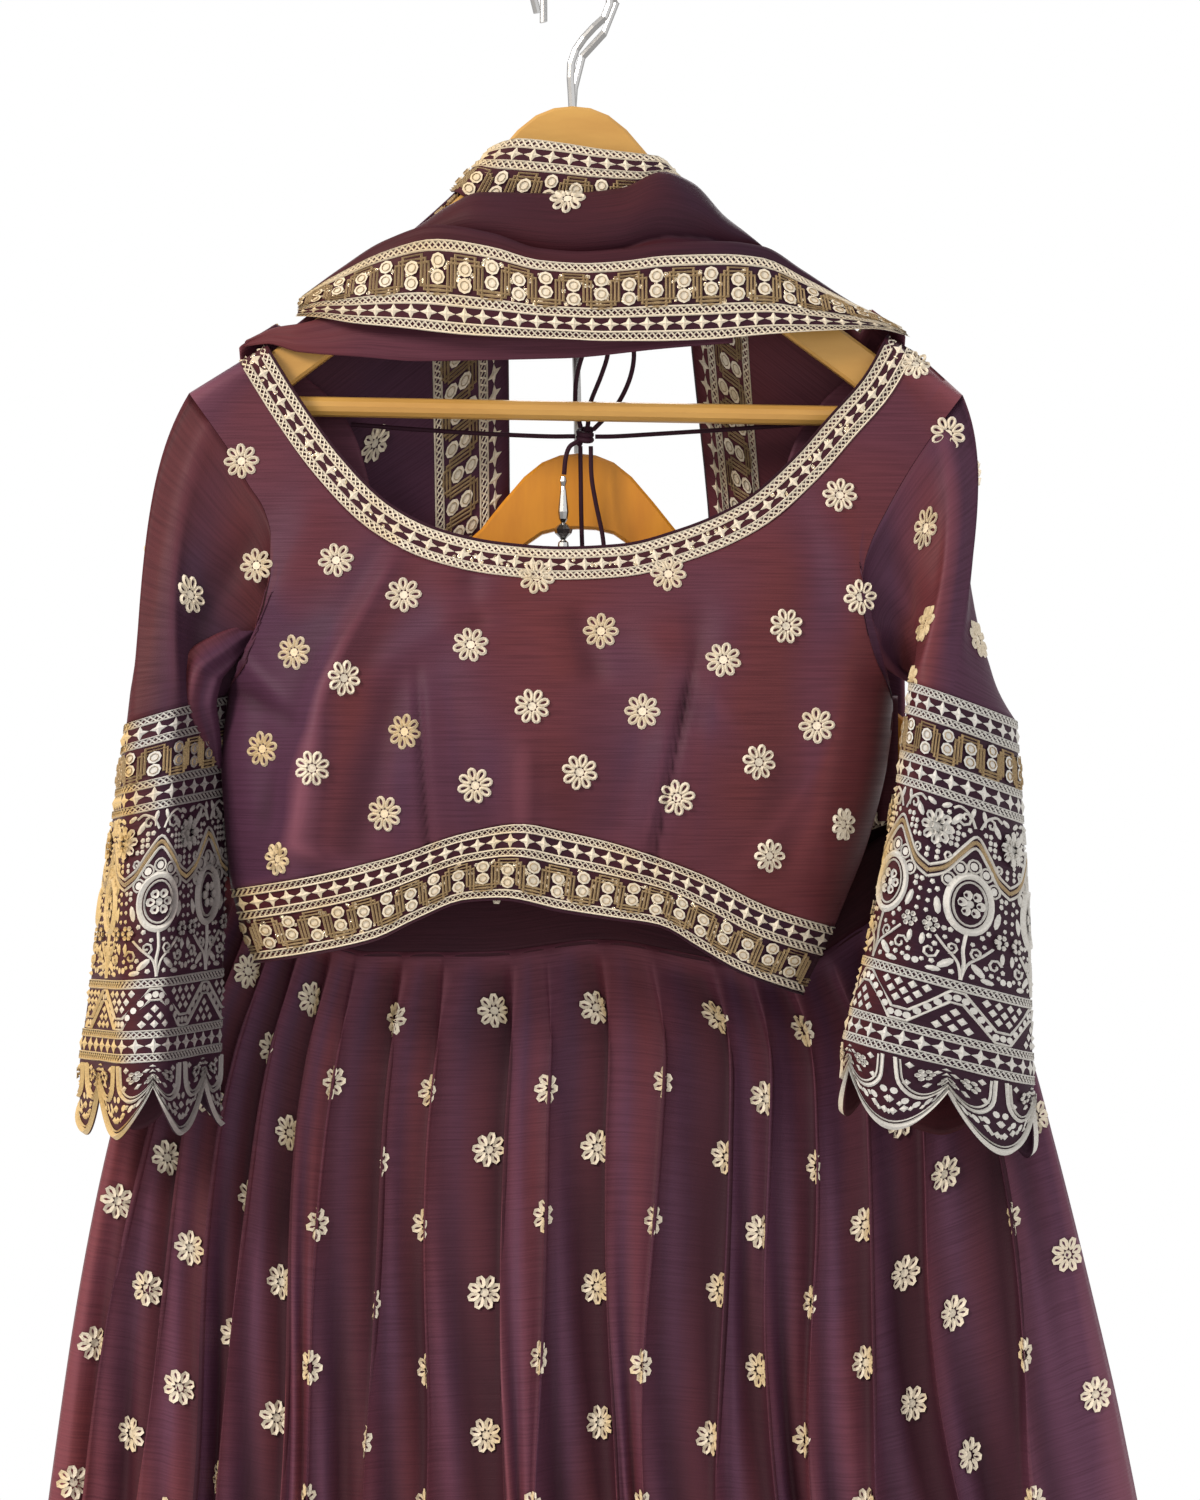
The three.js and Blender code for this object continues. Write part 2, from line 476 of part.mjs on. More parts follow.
// ---- The tie ----------------------------------------------------------------------------------
Object.entries(TIE).forEach(([name, rows]) => {
  const length = measuredLength(rows);
  add(name, tube(rows, CORD, 8, Math.round(length / 8)), 'plum');
});
const knot = new THREE.SphereGeometry(KNOT.radius, 10, 8);
knot.translate(KNOT.x, KNOT.y, KNOT.z);
add('dori_knot', knot, 'plum');
const drop = new THREE.LatheGeometry(DROP_OUTLINE.map(({ r, z }) => new THREE.Vector2(r, z)), 8);
drop.rotateX(Math.PI / 2);
drop.translate(DROP.x, DROP.y, DROP.top);
add('dori_drop', drop, 'chrome');

// ---- Skirt ------------------------------------------------------------------------------------
function skirtBase(side, share, z) {
  const [left, right] = [read(SKIRT, 'z', 'left', z), read(SKIRT, 'z', 'right', z)];
  const [front, back] = [read(SKIRT, 'z', 'front', z), read(SKIRT, 'z', 'back', z)];
  const middle = lerp(front, back, 0.45) + side * 0.75 * SIDE_GAP;
  const c = Math.abs(2 * share - 1);
  const y = lerp(middle, side < 0 ? front : back, Math.sqrt(Math.max(0, 1 - c ** 2.6)));
  return new THREE.Vector3(lerp(left, right, share), y, z);
}

const bandZ = (side, share) => read(BAND_LINE, 'x', side < 0 ? 'front' : 'back', lerp(-196, 190, share));

// The pleats of one panel: where each begins at the waistband and lower down, as shares of the width.
function pleatPlaces(rows) {
  const total = (column) => rows.reduce((sum, row) => sum + row[column], 0);
  const [sumTop, sumLow] = [total('top'), total('low')];
  let [top, low] = [0, 0];
  return rows.map((row) => {
    const width = { topWide: row.top / sumTop, lowWide: row.low / sumLow };
    const place = { top: top / sumTop, low: low / sumLow, depth: row.depth, ...width };
    top += row.top;
    low += row.low;
    return place;
  });
}

// Shape of one pleat across its width: how far it stands, and how far it leans along the panel.
const PLEAT = table('part rise lean', [0, 0, 0.1], [0.28, 0.62, -0.06], [0.62, 1, -0.14],
  [0.9, 0.55, 0.12]);

function skirtPoint(side, rows) {
  const pleats = pleatPlaces(rows);
  return (u, v) => {
    const k = Math.min(pleats.length - 1, Math.floor(u / PLEAT.length));
    const part = u === pleats.length * PLEAT.length ? { part: 1, rise: 0, lean: 0 } : PLEAT[u % PLEAT.length];
    const pleat = pleats[k];
    const spread = ease(v, 0, 0.3);
    const nearSide = Math.min(u, pleats.length * PLEAT.length - u);
    const lean = part.lean * spread * ease(nearSide, 0, 3);
    const across = part.part + lean;
    const share = lerp(pleat.top + across * pleat.topWide, pleat.low + across * pleat.lowWide, spread);
    const z = lerp(bandZ(side, share) - 2 * SEAM, SKIRT_HEM, v);
    const base = skirtBase(side, share, z);
    const a = skirtBase(side, Math.max(0, share - 0.01), z);
    const b = skirtBase(side, Math.min(1, share + 0.01), z);
    const out = new THREE.Vector3(b.y - a.y, a.x - b.x, 0).normalize().multiplyScalar(side);
    const rise = part.rise * pleat.depth * ease(nearSide, 0, 3) * read(SKIRT, 'z', 'pleat', z);
    return base.addScaledVector(out, rise);
  };
}

const falls = [0, 0.02, 0.05, 0.1, 0.18, 0.3, 0.45, 0.7, 1];
const places = (rows) => Array.from({ length: rows.length * PLEAT.length + 1 }, (_, i) => i);
[['skirt_front', FRONT_PLEATS, -1], ['skirt_back', BACK_PLEATS, 1]].forEach(([name, rows, side]) => {
  add(name, wall({ us: places(rows), vs: falls, at: skirtPoint(side, rows), thick: CLOTH, back: -side }), 'plum');
});

const bandPoint = (u, v) => {
  const side = u <= 0.5 ? -1 : 1;
  const share = side < 0 ? 2 * u : 2 * (1 - u);
  const z = bandZ(side, share) + SEAM + (BAND_HEIGHT - SEAM) * v;
  return skirtBase(side, share, z);
};
const band = { us: around(48), vs: [0, 0.5, 1], at: bandPoint, round: true };
add('waistband', wall({ ...band, thick: CLOTH, back: 1 }), 'plum');

// Tapes inside the waistband that hold the skirt on its hanger.
function woodTop(x) {
  return read(WOOD_OUTLINE, 'x', 'top', Math.abs(x));
}

function tapeGeometry(x) {
  const half = WOOD / 2 + 1;
  const top = SKIRT_HANGER.peak - woodTop(x - SKIRT_HANGER.x) + 3.4;
  const outer = (x + Math.sign(x) * 5 + 196) / 386;
  const foot = Math.max(bandZ(-1, outer), bandZ(1, outer)) + BAND_HEIGHT + SEAM;
  const inside = [[half - 1.4, foot], [half, top - 14], [half, top - 3], [half - 3, top]];
  const outside = [[half - 3, top + 1.5], [half + 1.5, top - 2.4], [half + 1.5, top - 14], [half, foot]];
  const mirror = (points) => points.map(([y, z]) => [-y, z]).reverse();
  const outline = [...inside, ...mirror(inside), ...mirror(outside), ...outside];
  const shape = new THREE.Shape(outline.map(([y, z]) => new THREE.Vector2(SKIRT_HANGER.y + y, z)));
  const tape = new THREE.ExtrudeGeometry(shape, { depth: 8, bevelEnabled: false });
  tape.applyMatrix4(new THREE.Matrix4().set(0, 0, 1, x - 4, 1, 0, 0, 0, 0, 1, 0, 0, 0, 0, 0, 1));
  return tape;
}
add('hanging_tape_left', tapeGeometry(-172), 'plum');
add('hanging_tape_right', tapeGeometry(176), 'plum');

// ---- Dupatta ----------------------------------------------------------------------------------
function wrapPoint({ top, low, bulge }) {
  const [a, b] = [measured(top), measured(low)];
  const place = (line, u) => new THREE.Vector3(...['x', 'y', 'z'].map((k) => read(line, 's', k, u)));
  return (u, v) => {
    const point = place(a, u).lerp(place(b, u), v);
    point.y -= bulge * Math.sin(Math.PI * v);
    return point;
  };
}
[
  ['dupatta_neck', WRAP_INNER, 14, 3],
  ['dupatta_folds', WRAP_MIDDLE, 18, 4],
  ['dupatta_swag', WRAP_OUTER, 24, 4],
  ['dupatta_under', WRAP_UNDER, 16, 2],
].forEach(([name, rows, columns, bands]) => {
  const wrap = { us: steps(columns), vs: steps(bands), at: wrapPoint(rows) };
  add(name, wall({ ...wrap, thick: CLOTH, back: 1 }), 'plum');
});

// A tail: one length of cloth folded into layers, one behind another.
function tailPoint(rows) {
  const overShoulder = (x) => (Math.abs(x) > 160 ? shoulderLine(x) + 8.5 : -Infinity);
  const rest = (x) => Math.max(-HOOK_DROP - woodTop(x) + 5.6, overShoulder(x));
  return (u, v) => {
    const layer = Math.min(TAIL_LAYERS - 1, Math.floor(u));
    const t = layer % 2 ? 1 - (u - layer) : u - layer;
    const fall = lerp(0, rows[rows.length - 1].fall, v);
    const at = (column) => read(rows, 'fall', column, fall);
    const x = lerp(at('inner'), at('outer'), t);
    const ripple = 2.2 * Math.sin(x / 21) * ease(fall, 60, 260);
    const z = lerp(rest(x), -HOOK_DROP - 100, ease(fall, 0, 400)) - fall;
    return new THREE.Vector3(x, at('y') + TAIL_GAP * layer + ripple, z);
  };
}
const tailFalls = [0, 5, 12, 40, 110, 200, 400, 700, 1080].map((fall) => fall / 1080);
const layerPlaces = steps(TAIL_LAYERS - 1)
  .flatMap((share) => [0, 0.04, 0.35, 0.65, 0.96].map((t) => share * (TAIL_LAYERS - 1) + t));
const tail = { us: [...layerPlaces, TAIL_LAYERS], vs: tailFalls, thick: CLOTH };
add('dupatta_tail_left', wall({ ...tail, at: tailPoint(TAIL_LEFT), back: 1 }), 'plum');
add('dupatta_tail_right', wall({ ...tail, at: tailPoint(TAIL_RIGHT), back: -1 }), 'plum');

export default lehenga;
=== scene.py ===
"""A lehenga set on two wooden hangers: blouse, pleated skirt and scarf in shot plum silk crepe, worked all
over with raised thread, coins, beads and sequins. Tables are in millimetres, objects in metres."""
import math
import bmesh
import bpy
import numpy as np
from mathutils import Matrix, Vector


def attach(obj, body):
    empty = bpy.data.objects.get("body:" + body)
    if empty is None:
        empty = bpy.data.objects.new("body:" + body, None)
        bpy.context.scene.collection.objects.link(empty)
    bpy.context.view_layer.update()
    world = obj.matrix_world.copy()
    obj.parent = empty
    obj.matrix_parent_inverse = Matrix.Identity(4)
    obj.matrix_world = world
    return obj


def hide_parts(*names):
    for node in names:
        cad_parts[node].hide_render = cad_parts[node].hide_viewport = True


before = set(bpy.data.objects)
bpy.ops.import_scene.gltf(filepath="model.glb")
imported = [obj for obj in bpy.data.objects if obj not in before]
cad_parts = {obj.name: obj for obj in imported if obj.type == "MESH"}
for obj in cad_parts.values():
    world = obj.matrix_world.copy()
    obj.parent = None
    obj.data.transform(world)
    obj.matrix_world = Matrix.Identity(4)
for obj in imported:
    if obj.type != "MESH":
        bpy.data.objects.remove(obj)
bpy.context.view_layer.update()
rng = np.random.default_rng(7)
MM = 0.001

# ---- Camera and light -------------------------------------------------------------------------
VIEW_TALL = 1500  # the view's height on its own grid
VIEW_HANGER = (572, 100)  # where the light hanger's top shows on that grid
VIEW_STEP = 0.545  # millimetres to one step of that grid
VIEW_CENTRE = (15.3, -434.3)  # across and up
CAMERA_FAR = 2.6  # metres from the blouse to the camera
BLOUSE_OUT = 0.03  # metres from the rail's middle to the blouse
SENSOR = 36.0


def linked(name, data):
    """A new object in the scene that shows what data holds."""
    obj = bpy.data.objects.new(name, data)
    bpy.context.scene.collection.objects.link(obj)
    return obj


def aimed(obj, target):
    obj.rotation_euler = (Vector(target) - obj.location).to_track_quat("-Z", "Y").to_euler()


def make_camera():
    data = bpy.data.cameras.new("camera")
    camera = linked("camera", data)
    camera.location = (VIEW_CENTRE[0] * MM, -CAMERA_FAR - BLOUSE_OUT, VIEW_CENTRE[1] * MM)
    camera.rotation_euler = (math.pi / 2, 0, 0)
    data.sensor_width = SENSOR
    data.lens = SENSOR * CAMERA_FAR / (VIEW_TALL * VIEW_STEP * MM)
    data.clip_end = 50
    bpy.context.scene.camera = camera


def area_light(name, place, target, size, power, colour):
    data = bpy.data.lights.new(name, "AREA")
    data.shape = "RECTANGLE"
    data.size, data.size_y = size
    data.energy = power
    data.color = colour
    lamp = linked(name, data)
    lamp.location = place
    aimed(lamp, target)


make_camera()
area_light("key", (-2.0, -1.7, 1.1), (0, 0, -0.5), (0.8, 0.8), 84, (1.0, 0.94, 0.86))
area_light("fill", (1.9, -2.2, 0.2), (0, 0, -0.6), (1.6, 2.0), 12, (0.94, 0.97, 1.0))
area_light("back", (0.3, 1.8, 0.9), (0, 0, -0.6), (1.6, 1.2), 20, (1.0, 1.0, 1.0))
world = bpy.data.worlds.new("studio")
bpy.context.scene.world = world
world.use_nodes = True
world.node_tree.nodes["Background"].inputs["Color"].default_value = (1.0, 1.0, 1.0, 1)
world.node_tree.nodes["Background"].inputs["Strength"].default_value = 1.0
bpy.context.scene.view_settings.view_transform = "Standard"


# ---- Tables -----------------------------------------------------------------------------------
def table(columns, *rows):
    return {name: np.array([row[i] for row in rows], float) for i, name in enumerate(columns.split())}


def read(rows, along, column, place):
    """A table's column as a smooth curve of another column, clamped at its ends."""
    a, c = rows[along], rows[column]
    if a[-1] < a[0]:
        a, c = a[::-1], c[::-1]
    place = np.clip(np.asarray(place, float), a[0], a[-1])
    slope = np.diff(c) / np.diff(a)
    both = slope[:-1] * slope[1:]
    inner = np.where(both > 0, 2 * both / np.where(both > 0, slope[:-1] + slope[1:], 1), 0)
    tangent = np.concatenate([slope[:1], inner, slope[-1:]])
    i = np.clip(np.searchsorted(a, place, side="right") - 1, 0, len(a) - 2)
    span = a[i + 1] - a[i]
    t = (place - a[i]) / span
    t2, t3 = t * t, t * t * t
    return ((2 * t3 - 3 * t2 + 1) * c[i] + (t3 - 2 * t2 + t) * span * tangent[i]
            + (3 * t2 - 2 * t3) * c[i + 1] + (t3 - t2) * span * tangent[i + 1])


def measured(rows):
    """A line's table with its length, and each point's share of that length as s."""
    line = np.stack([rows["x"], rows.get("y", 0 * rows["x"]), rows["z"]], 1)
    run = np.concatenate([[0], np.cumsum(np.linalg.norm(np.diff(line, axis=0), axis=1))])
    return {**rows, "s": run / run[-1], "length": run[-1]}


def even(count):
    """Places at even steps from 0 to 1."""
    return np.linspace(0, 1, count)


def lerp(a, b, t):
    """What lies between a and b at a share t of the way."""
    return a + (b - a) * t


def ease(place, start, end):
    """Rises softly from 0 at start to 1 at end."""
    t = np.clip((np.asarray(place, float) - start) / (end - start), 0, 1)
    return t * t * (3 - 2 * t)


# Outlines and sections of what hangs: x across, y to the back, z up from the rail.
HOOK_DROP = 80  # from the rail down to the light hanger's top
WOOD_OUTLINE = table("x top bottom", [0, 0, 42], [10, 1, 42.5], [20, 5, 45], [30, 13, 52], [42, 27, 63],
    [54, 42, 75], [100, 84, 113], [150, 124, 150], [180, 146, 174], [192, 157, 178], [197, 165, 172])
FRONT_NECK = table("x z", [-168, -211], [-148, -243], [-126, -273], [-99, -300], [-72, -314],
    [-39, -321.5], [-6, -324], [26, -322.5], [59, -314], [92, -299], [119, -276], [141, -251],
    [160, -229], [173, -206])
BACK_NECK = table("x z", [-168, -211], [-146, -229], [-130, -244], [-119, -264], [-109, -300],
    [-96, -342], [-60, -374], [2, -385], [62, -374], [98, -342], [112, -300], [123, -264], [137, -243],
    [158, -223], [173, -206])
LEFT_SIDE = table("x z", [-211, -237.5], [-197, -257], [-188, -270], [-177, -289], [-168, -303],
    [-164, -318], [-164, -335], [-167, -353], [-172, -368], [-178, -388], [-190, -404], [-194, -430],
    [-192, -470], [-188, -511])
RIGHT_SIDE = table("x z", [215, -238.5], [196, -264], [184, -282], [172, -303], [163, -321],
    [158.5, -336], [157.5, -350], [160, -367], [165, -384], [172, -398], [177, -412], [174, -440],
    [164, -482], [144.4, -531.8])
HEM_TOP = table("x z", [-188, -511], [-138, -502], [-97, -492], [-57, -479], [-27, -474], [-6, -478],
    [24, -485], [69, -501], [108, -520], [144.4, -531.8])
HEM_LOW = table("x z", [-174, -551.5], [-142, -546], [-107, -538], [-83, -526.5], [-57, -516.5],
    [-38, -515.5], [-6, -522], [20, -526], [47, -530], [68, -542], [90, -555], [126, -569])
BODY = table("z left right front back edge", [-575, -168, 124, -40, 12, 2], [-551, -176, 136, -44, 12, 2],
    [-532, -183, 144.4, -49, 12, 2], [-511, -188, 153, -54, 13, 2], [-475, -192, 166, -62, 14, 2],
    [-440, -194, 174, -65, 14, 2], [-400, -190, 178, -60, 14, 2], [-388, -192, 184, -57, 14, 2],
    [-340, -206, 204, -44, 13, -4], [-300, -214, 216, -29, 13, -8], [-240, -226, 230, -15, 13, -10],
    [-200, -230, 236, -12, 12, -10])
SLEEVE_RIGHT = table("v x y z long wide turn tilt", [0, 214, -22, -408, 41, 20, 50, -0.34],
    [0.3, 212, -25, -468, 48, 21, 46, -0.32], [0.65, 207, -28, -540, 56, 21, 40, -0.29],
    [1, 200, -31, -608, 65, 21, 35, -0.27])
SLEEVE_LEFT = table("v x y z long wide turn tilt", [0, -215, -22, -412, 36, 19, 52, 0.3],
    [0.3, -221, -27, -470, 45, 21, 54, 0.2], [0.65, -230, -31, -540, 50, 22, 54, 0.1],
    [1, -241, -35, -606, 54, 20, 54, 0.05])
SKIRT_HEM = -1545
SKIRT = table("z left right front back pleat", [SKIRT_HEM, -378, 408, -108, 152, 15],
    [-1250, -338, 372, -84, 130, 14], [-1000, -310, 340, -56, 108, 12.5], [-810, -286, 306, -28, 88, 11],
    [-735, -275, 289, -14, 78, 10], [-650, -258, 268, 2, 66, 8.5], [-600, -243, 254, 11.5, 60, 7.5],
    [-560, -224, 231, 17, 55, 6], [-500, -194, 189, 19, 51, 4.5])
BAND_LINE = table("x front back", [-196, -504, -504], [-150, -530, -522], [-102, -549, -536],
    [-50, -549, -545], [10, -542, -547], [60, -552, -543], [90, -557, -538], [140, -536, -523],
    [190, -505, -505])
FRONT_PLEATS = table("top low depth", [28, 40, 0.8], [22, 55, 1], [28, 40, 0.7], [27, 40, 1],
    [31, 55, 0.9], [24, 20, 0.4], [41, 69, 1], [37, 45, 0.8], [59, 77, 1.1], [31, 40, 0.35], [48, 66, 1],
    [44, 30, 0.5], [52, 76, 1.1], [32, 43, 0.7], [32, 45, 1], [42, 60, 0.8], [45, 70, 1], [43, 90, 1],
    [42, 97, 0.9])
BACK_PLEATS = table("top low depth", [44, 80, 0.9], [36, 60, 0.7], [42, 55, 1], [30, 48, 0.6],
    [46, 62, 1.1], [38, 50, 0.8], [44, 58, 1], [34, 46, 0.5], [48, 60, 1.1], [36, 52, 0.8], [44, 62, 1],
    [32, 44, 0.6], [42, 60, 1], [38, 56, 0.8], [44, 66, 1], [36, 60, 0.7], [42, 78, 0.9])
NECK_BORDER = 18  # the neck border's height
BAND_HEIGHT = 34  # the waistband's height
BAND_ENDS = (-196, 190)  # its ends, across


# ---- Raised work ------------------------------------------------------------------------------
THREAD, BEAD, SEQUIN, CLOTH_CORD = range(4)  # the places of a work's materials


class Motif:
    """A small piece of raised work laid flat, in millimetres: a along, b down, h up from the cloth."""

    def __init__(self, pitch=1.0, tall=1.0, count=None):
        self.pitch, self.tall, self.count = pitch, tall, count
        self.bm = bmesh.new()
        self.mesh = None

    def _take(self, verts, finish, a=0.0, b=0.0, turn=0.0, stretch=(1, 1)):
        bmesh.ops.scale(self.bm, verts=verts, vec=(*stretch, 1))
        bmesh.ops.rotate(self.bm, verts=verts, matrix=Matrix.Rotation(turn, 3, "Z"))
        bmesh.ops.translate(self.bm, verts=verts, vec=(a, b, 0))
        for face in {f for v in verts for f in v.link_faces}:
            face.material_index = finish
        return self

    def line(self, points, width, height, closed=False, finish=THREAD, across=2):
        """A raised line of thread: a strip that takes the line's points."""
        points = np.asarray(points, float)
        if closed:
            points = np.vstack([points, points[:1]])
        run = np.gradient(points, axis=0)
        if closed:
            run[0] = run[-1] = points[1] - points[-2]
        run /= np.maximum(np.linalg.norm(run, axis=1, keepdims=True), 1e-9)
        count = len(points) - 1
        verts = bmesh.ops.create_grid(self.bm, x_segments=count, y_segments=across, size=0.5)["verts"]
        for vert in verts:
            k = round((vert.co.x + 0.5) * count)
            side = 2 * vert.co.y
            rise = height * ((1 - abs(side)) if across == 2 else (side < 0)) + 0.25
            vert.co = (points[k, 0] - side * run[k, 1] * width / 2,
                       points[k, 1] + side * run[k, 0] * width / 2, rise)
        if closed:
            bmesh.ops.remove_doubles(self.bm, verts=verts, dist=1e-3)
            verts = [v for v in verts if v.is_valid]
        return self._take(verts, finish)

    def coin(self, a, b, radius, height=1.0, sides=8):
        """A round button with a sunken middle."""
        disc = bmesh.ops.create_circle(self.bm, cap_ends=True, segments=sides, radius=radius)["verts"]
        face = disc[0].link_faces[0]
        bmesh.ops.inset_region(self.bm, faces=[face], thickness=0.3 * radius, depth=height)
        bmesh.ops.inset_region(self.bm, faces=[face], thickness=0.2 * radius, depth=-0.9 * height)
        if radius > 3:
            bmesh.ops.inset_region(self.bm, faces=[face], thickness=0.14 * radius, depth=0.7 * height)
        rim = {f for v in disc for f in v.link_faces}
        return self._take(list({*disc, *face.verts, *(v for f in rim for v in f.verts)}), THREAD, a, b)

    def peak(self, a, b, radius, height=1.0, sides=6, finish=THREAD, turn=0.0, stretch=(1, 1), inner=None):
        """A padded leaf, star or bead: a disc raised to a peak, its every other corner drawn in."""
        disc = bmesh.ops.create_circle(self.bm, cap_ends=True, segments=sides, radius=radius)["verts"]
        for k, vert in enumerate(disc):
            if inner and k % 2:
                vert.co *= inner
            vert.co.z = 0.2
        top = bmesh.ops.poke(self.bm, faces=[disc[0].link_faces[0]], offset=height)["verts"]
        return self._take(disc + top, finish, a, b, turn, stretch)

    def flower(self, a, b, radius, petals=8, points=7, across=1, width=1.9, height=1.1, heart=0.24):
        """A flower of open looped petals round a button."""
        for k in range(petals):
            angle = 2 * math.pi * k / petals
            t = np.linspace(0, 2 * math.pi, points, endpoint=False) + math.pi
            long, wide = 0.5 * (1 - heart) * radius, radius * math.sin(math.pi / petals) * 0.66
            out = radius - long + (long - width / 2) * np.cos(t)
            over = (wide - width / 2) * np.sin(t) * (1.0 + 0.25 * np.cos(t))
            loop = np.stack([a + out * math.cos(angle) - over * math.sin(angle),
                             b + out * math.sin(angle) + over * math.cos(angle)], 1)
            self.line(loop, width, height, closed=True, across=across)
        return self.coin(a, b, heart * radius, height)

    def seeds(self, wide, tall, step=3.6, clear=2.3):
        """Fills what is left bare with small padded seeds."""
        worked = np.array([v.co[:2] for v in self.bm.verts])
        for b in np.arange((step - tall) / 2, tall / 2, step):
            for a in np.arange((step - wide) / 2, wide / 2, step):
                if np.hypot(*(worked - (a, b)).T).min() > clear:
                    self.peak(a, b, 1.5, 1.2, sides=5, turn=a + b)
        return self

    def flat(self):
        """The motif as a mesh, with every face turned up."""
        if self.mesh is None:
            self.bm.normal_update()
            bmesh.ops.reverse_faces(self.bm, faces=[f for f in self.bm.faces if f.normal.z < 0])
            self.mesh = bpy.data.meshes.new("motif")
            self.bm.to_mesh(self.mesh)
        return self.mesh


def spots(a, b, turn=0.0, wide=1.0, tall=1.0):
    """A row for each copy of a motif: where it lies, how far it is turned and how it is stretched."""
    columns = [np.asarray(column, float) for column in (a, b, turn, wide, tall)]
    return np.stack(np.broadcast_arrays(*columns), -1).reshape(-1, len(columns))


works = {}


def lay(name, layers, materials, cloth):
    """Lays layers of work, each (motif, spots, put), on a cloth and joins them into one piece."""
    bm = bmesh.new()
    placed = []
    for motif, places, put in layers:
        mesh = motif.flat()
        flat = coordinates(mesh)
        before = len(bm.faces)
        for _ in places:
            bm.from_mesh(mesh)

        def spread(points):
            a, b, turn, stretch_a, stretch_b = (places[:, k:k + 1] for k in range(places.shape[1]))
            wide, tall = points[None, :, 0] * stretch_a, points[None, :, 1] * stretch_b
            height = np.broadcast_to(points[None, :, 2], wide.shape)
            return put(np.stack([a + np.cos(turn) * wide - np.sin(turn) * tall,
                                 b + np.sin(turn) * wide + np.cos(turn) * tall, height], -1))

        placed.append(spread(flat).reshape(-1, 4))
        axes = spread(np.vstack([np.zeros(3), np.eye(3)]))[:, :, :3]
        axes = axes[:, 1:] - axes[:, :1]
        if np.sum(np.linalg.det(axes) > 0) * 2 < len(axes):
            bmesh.ops.reverse_faces(bm, faces=list(bm.faces)[before:])
    mesh = bpy.data.meshes.new(name)
    bm.to_mesh(mesh)
    bm.free()
    placed = np.concatenate(placed)
    mesh.vertices.foreach_set("co", (placed[:, :3] * MM).ravel())
    # The way the cloth leans under the work, for the thread's painted warm light and painted shade
    note(mesh, "lean", placed[:, 3])
    obj = finished(name, mesh, materials, smooth=False)
    works.setdefault(cloth, []).append(obj)


# ---- Cloth ------------------------------------------------------------------------------------
LEAN_REACH, HOLLOW_REACH = 6, 8  # grid columns either way
CLOTH = 0.7


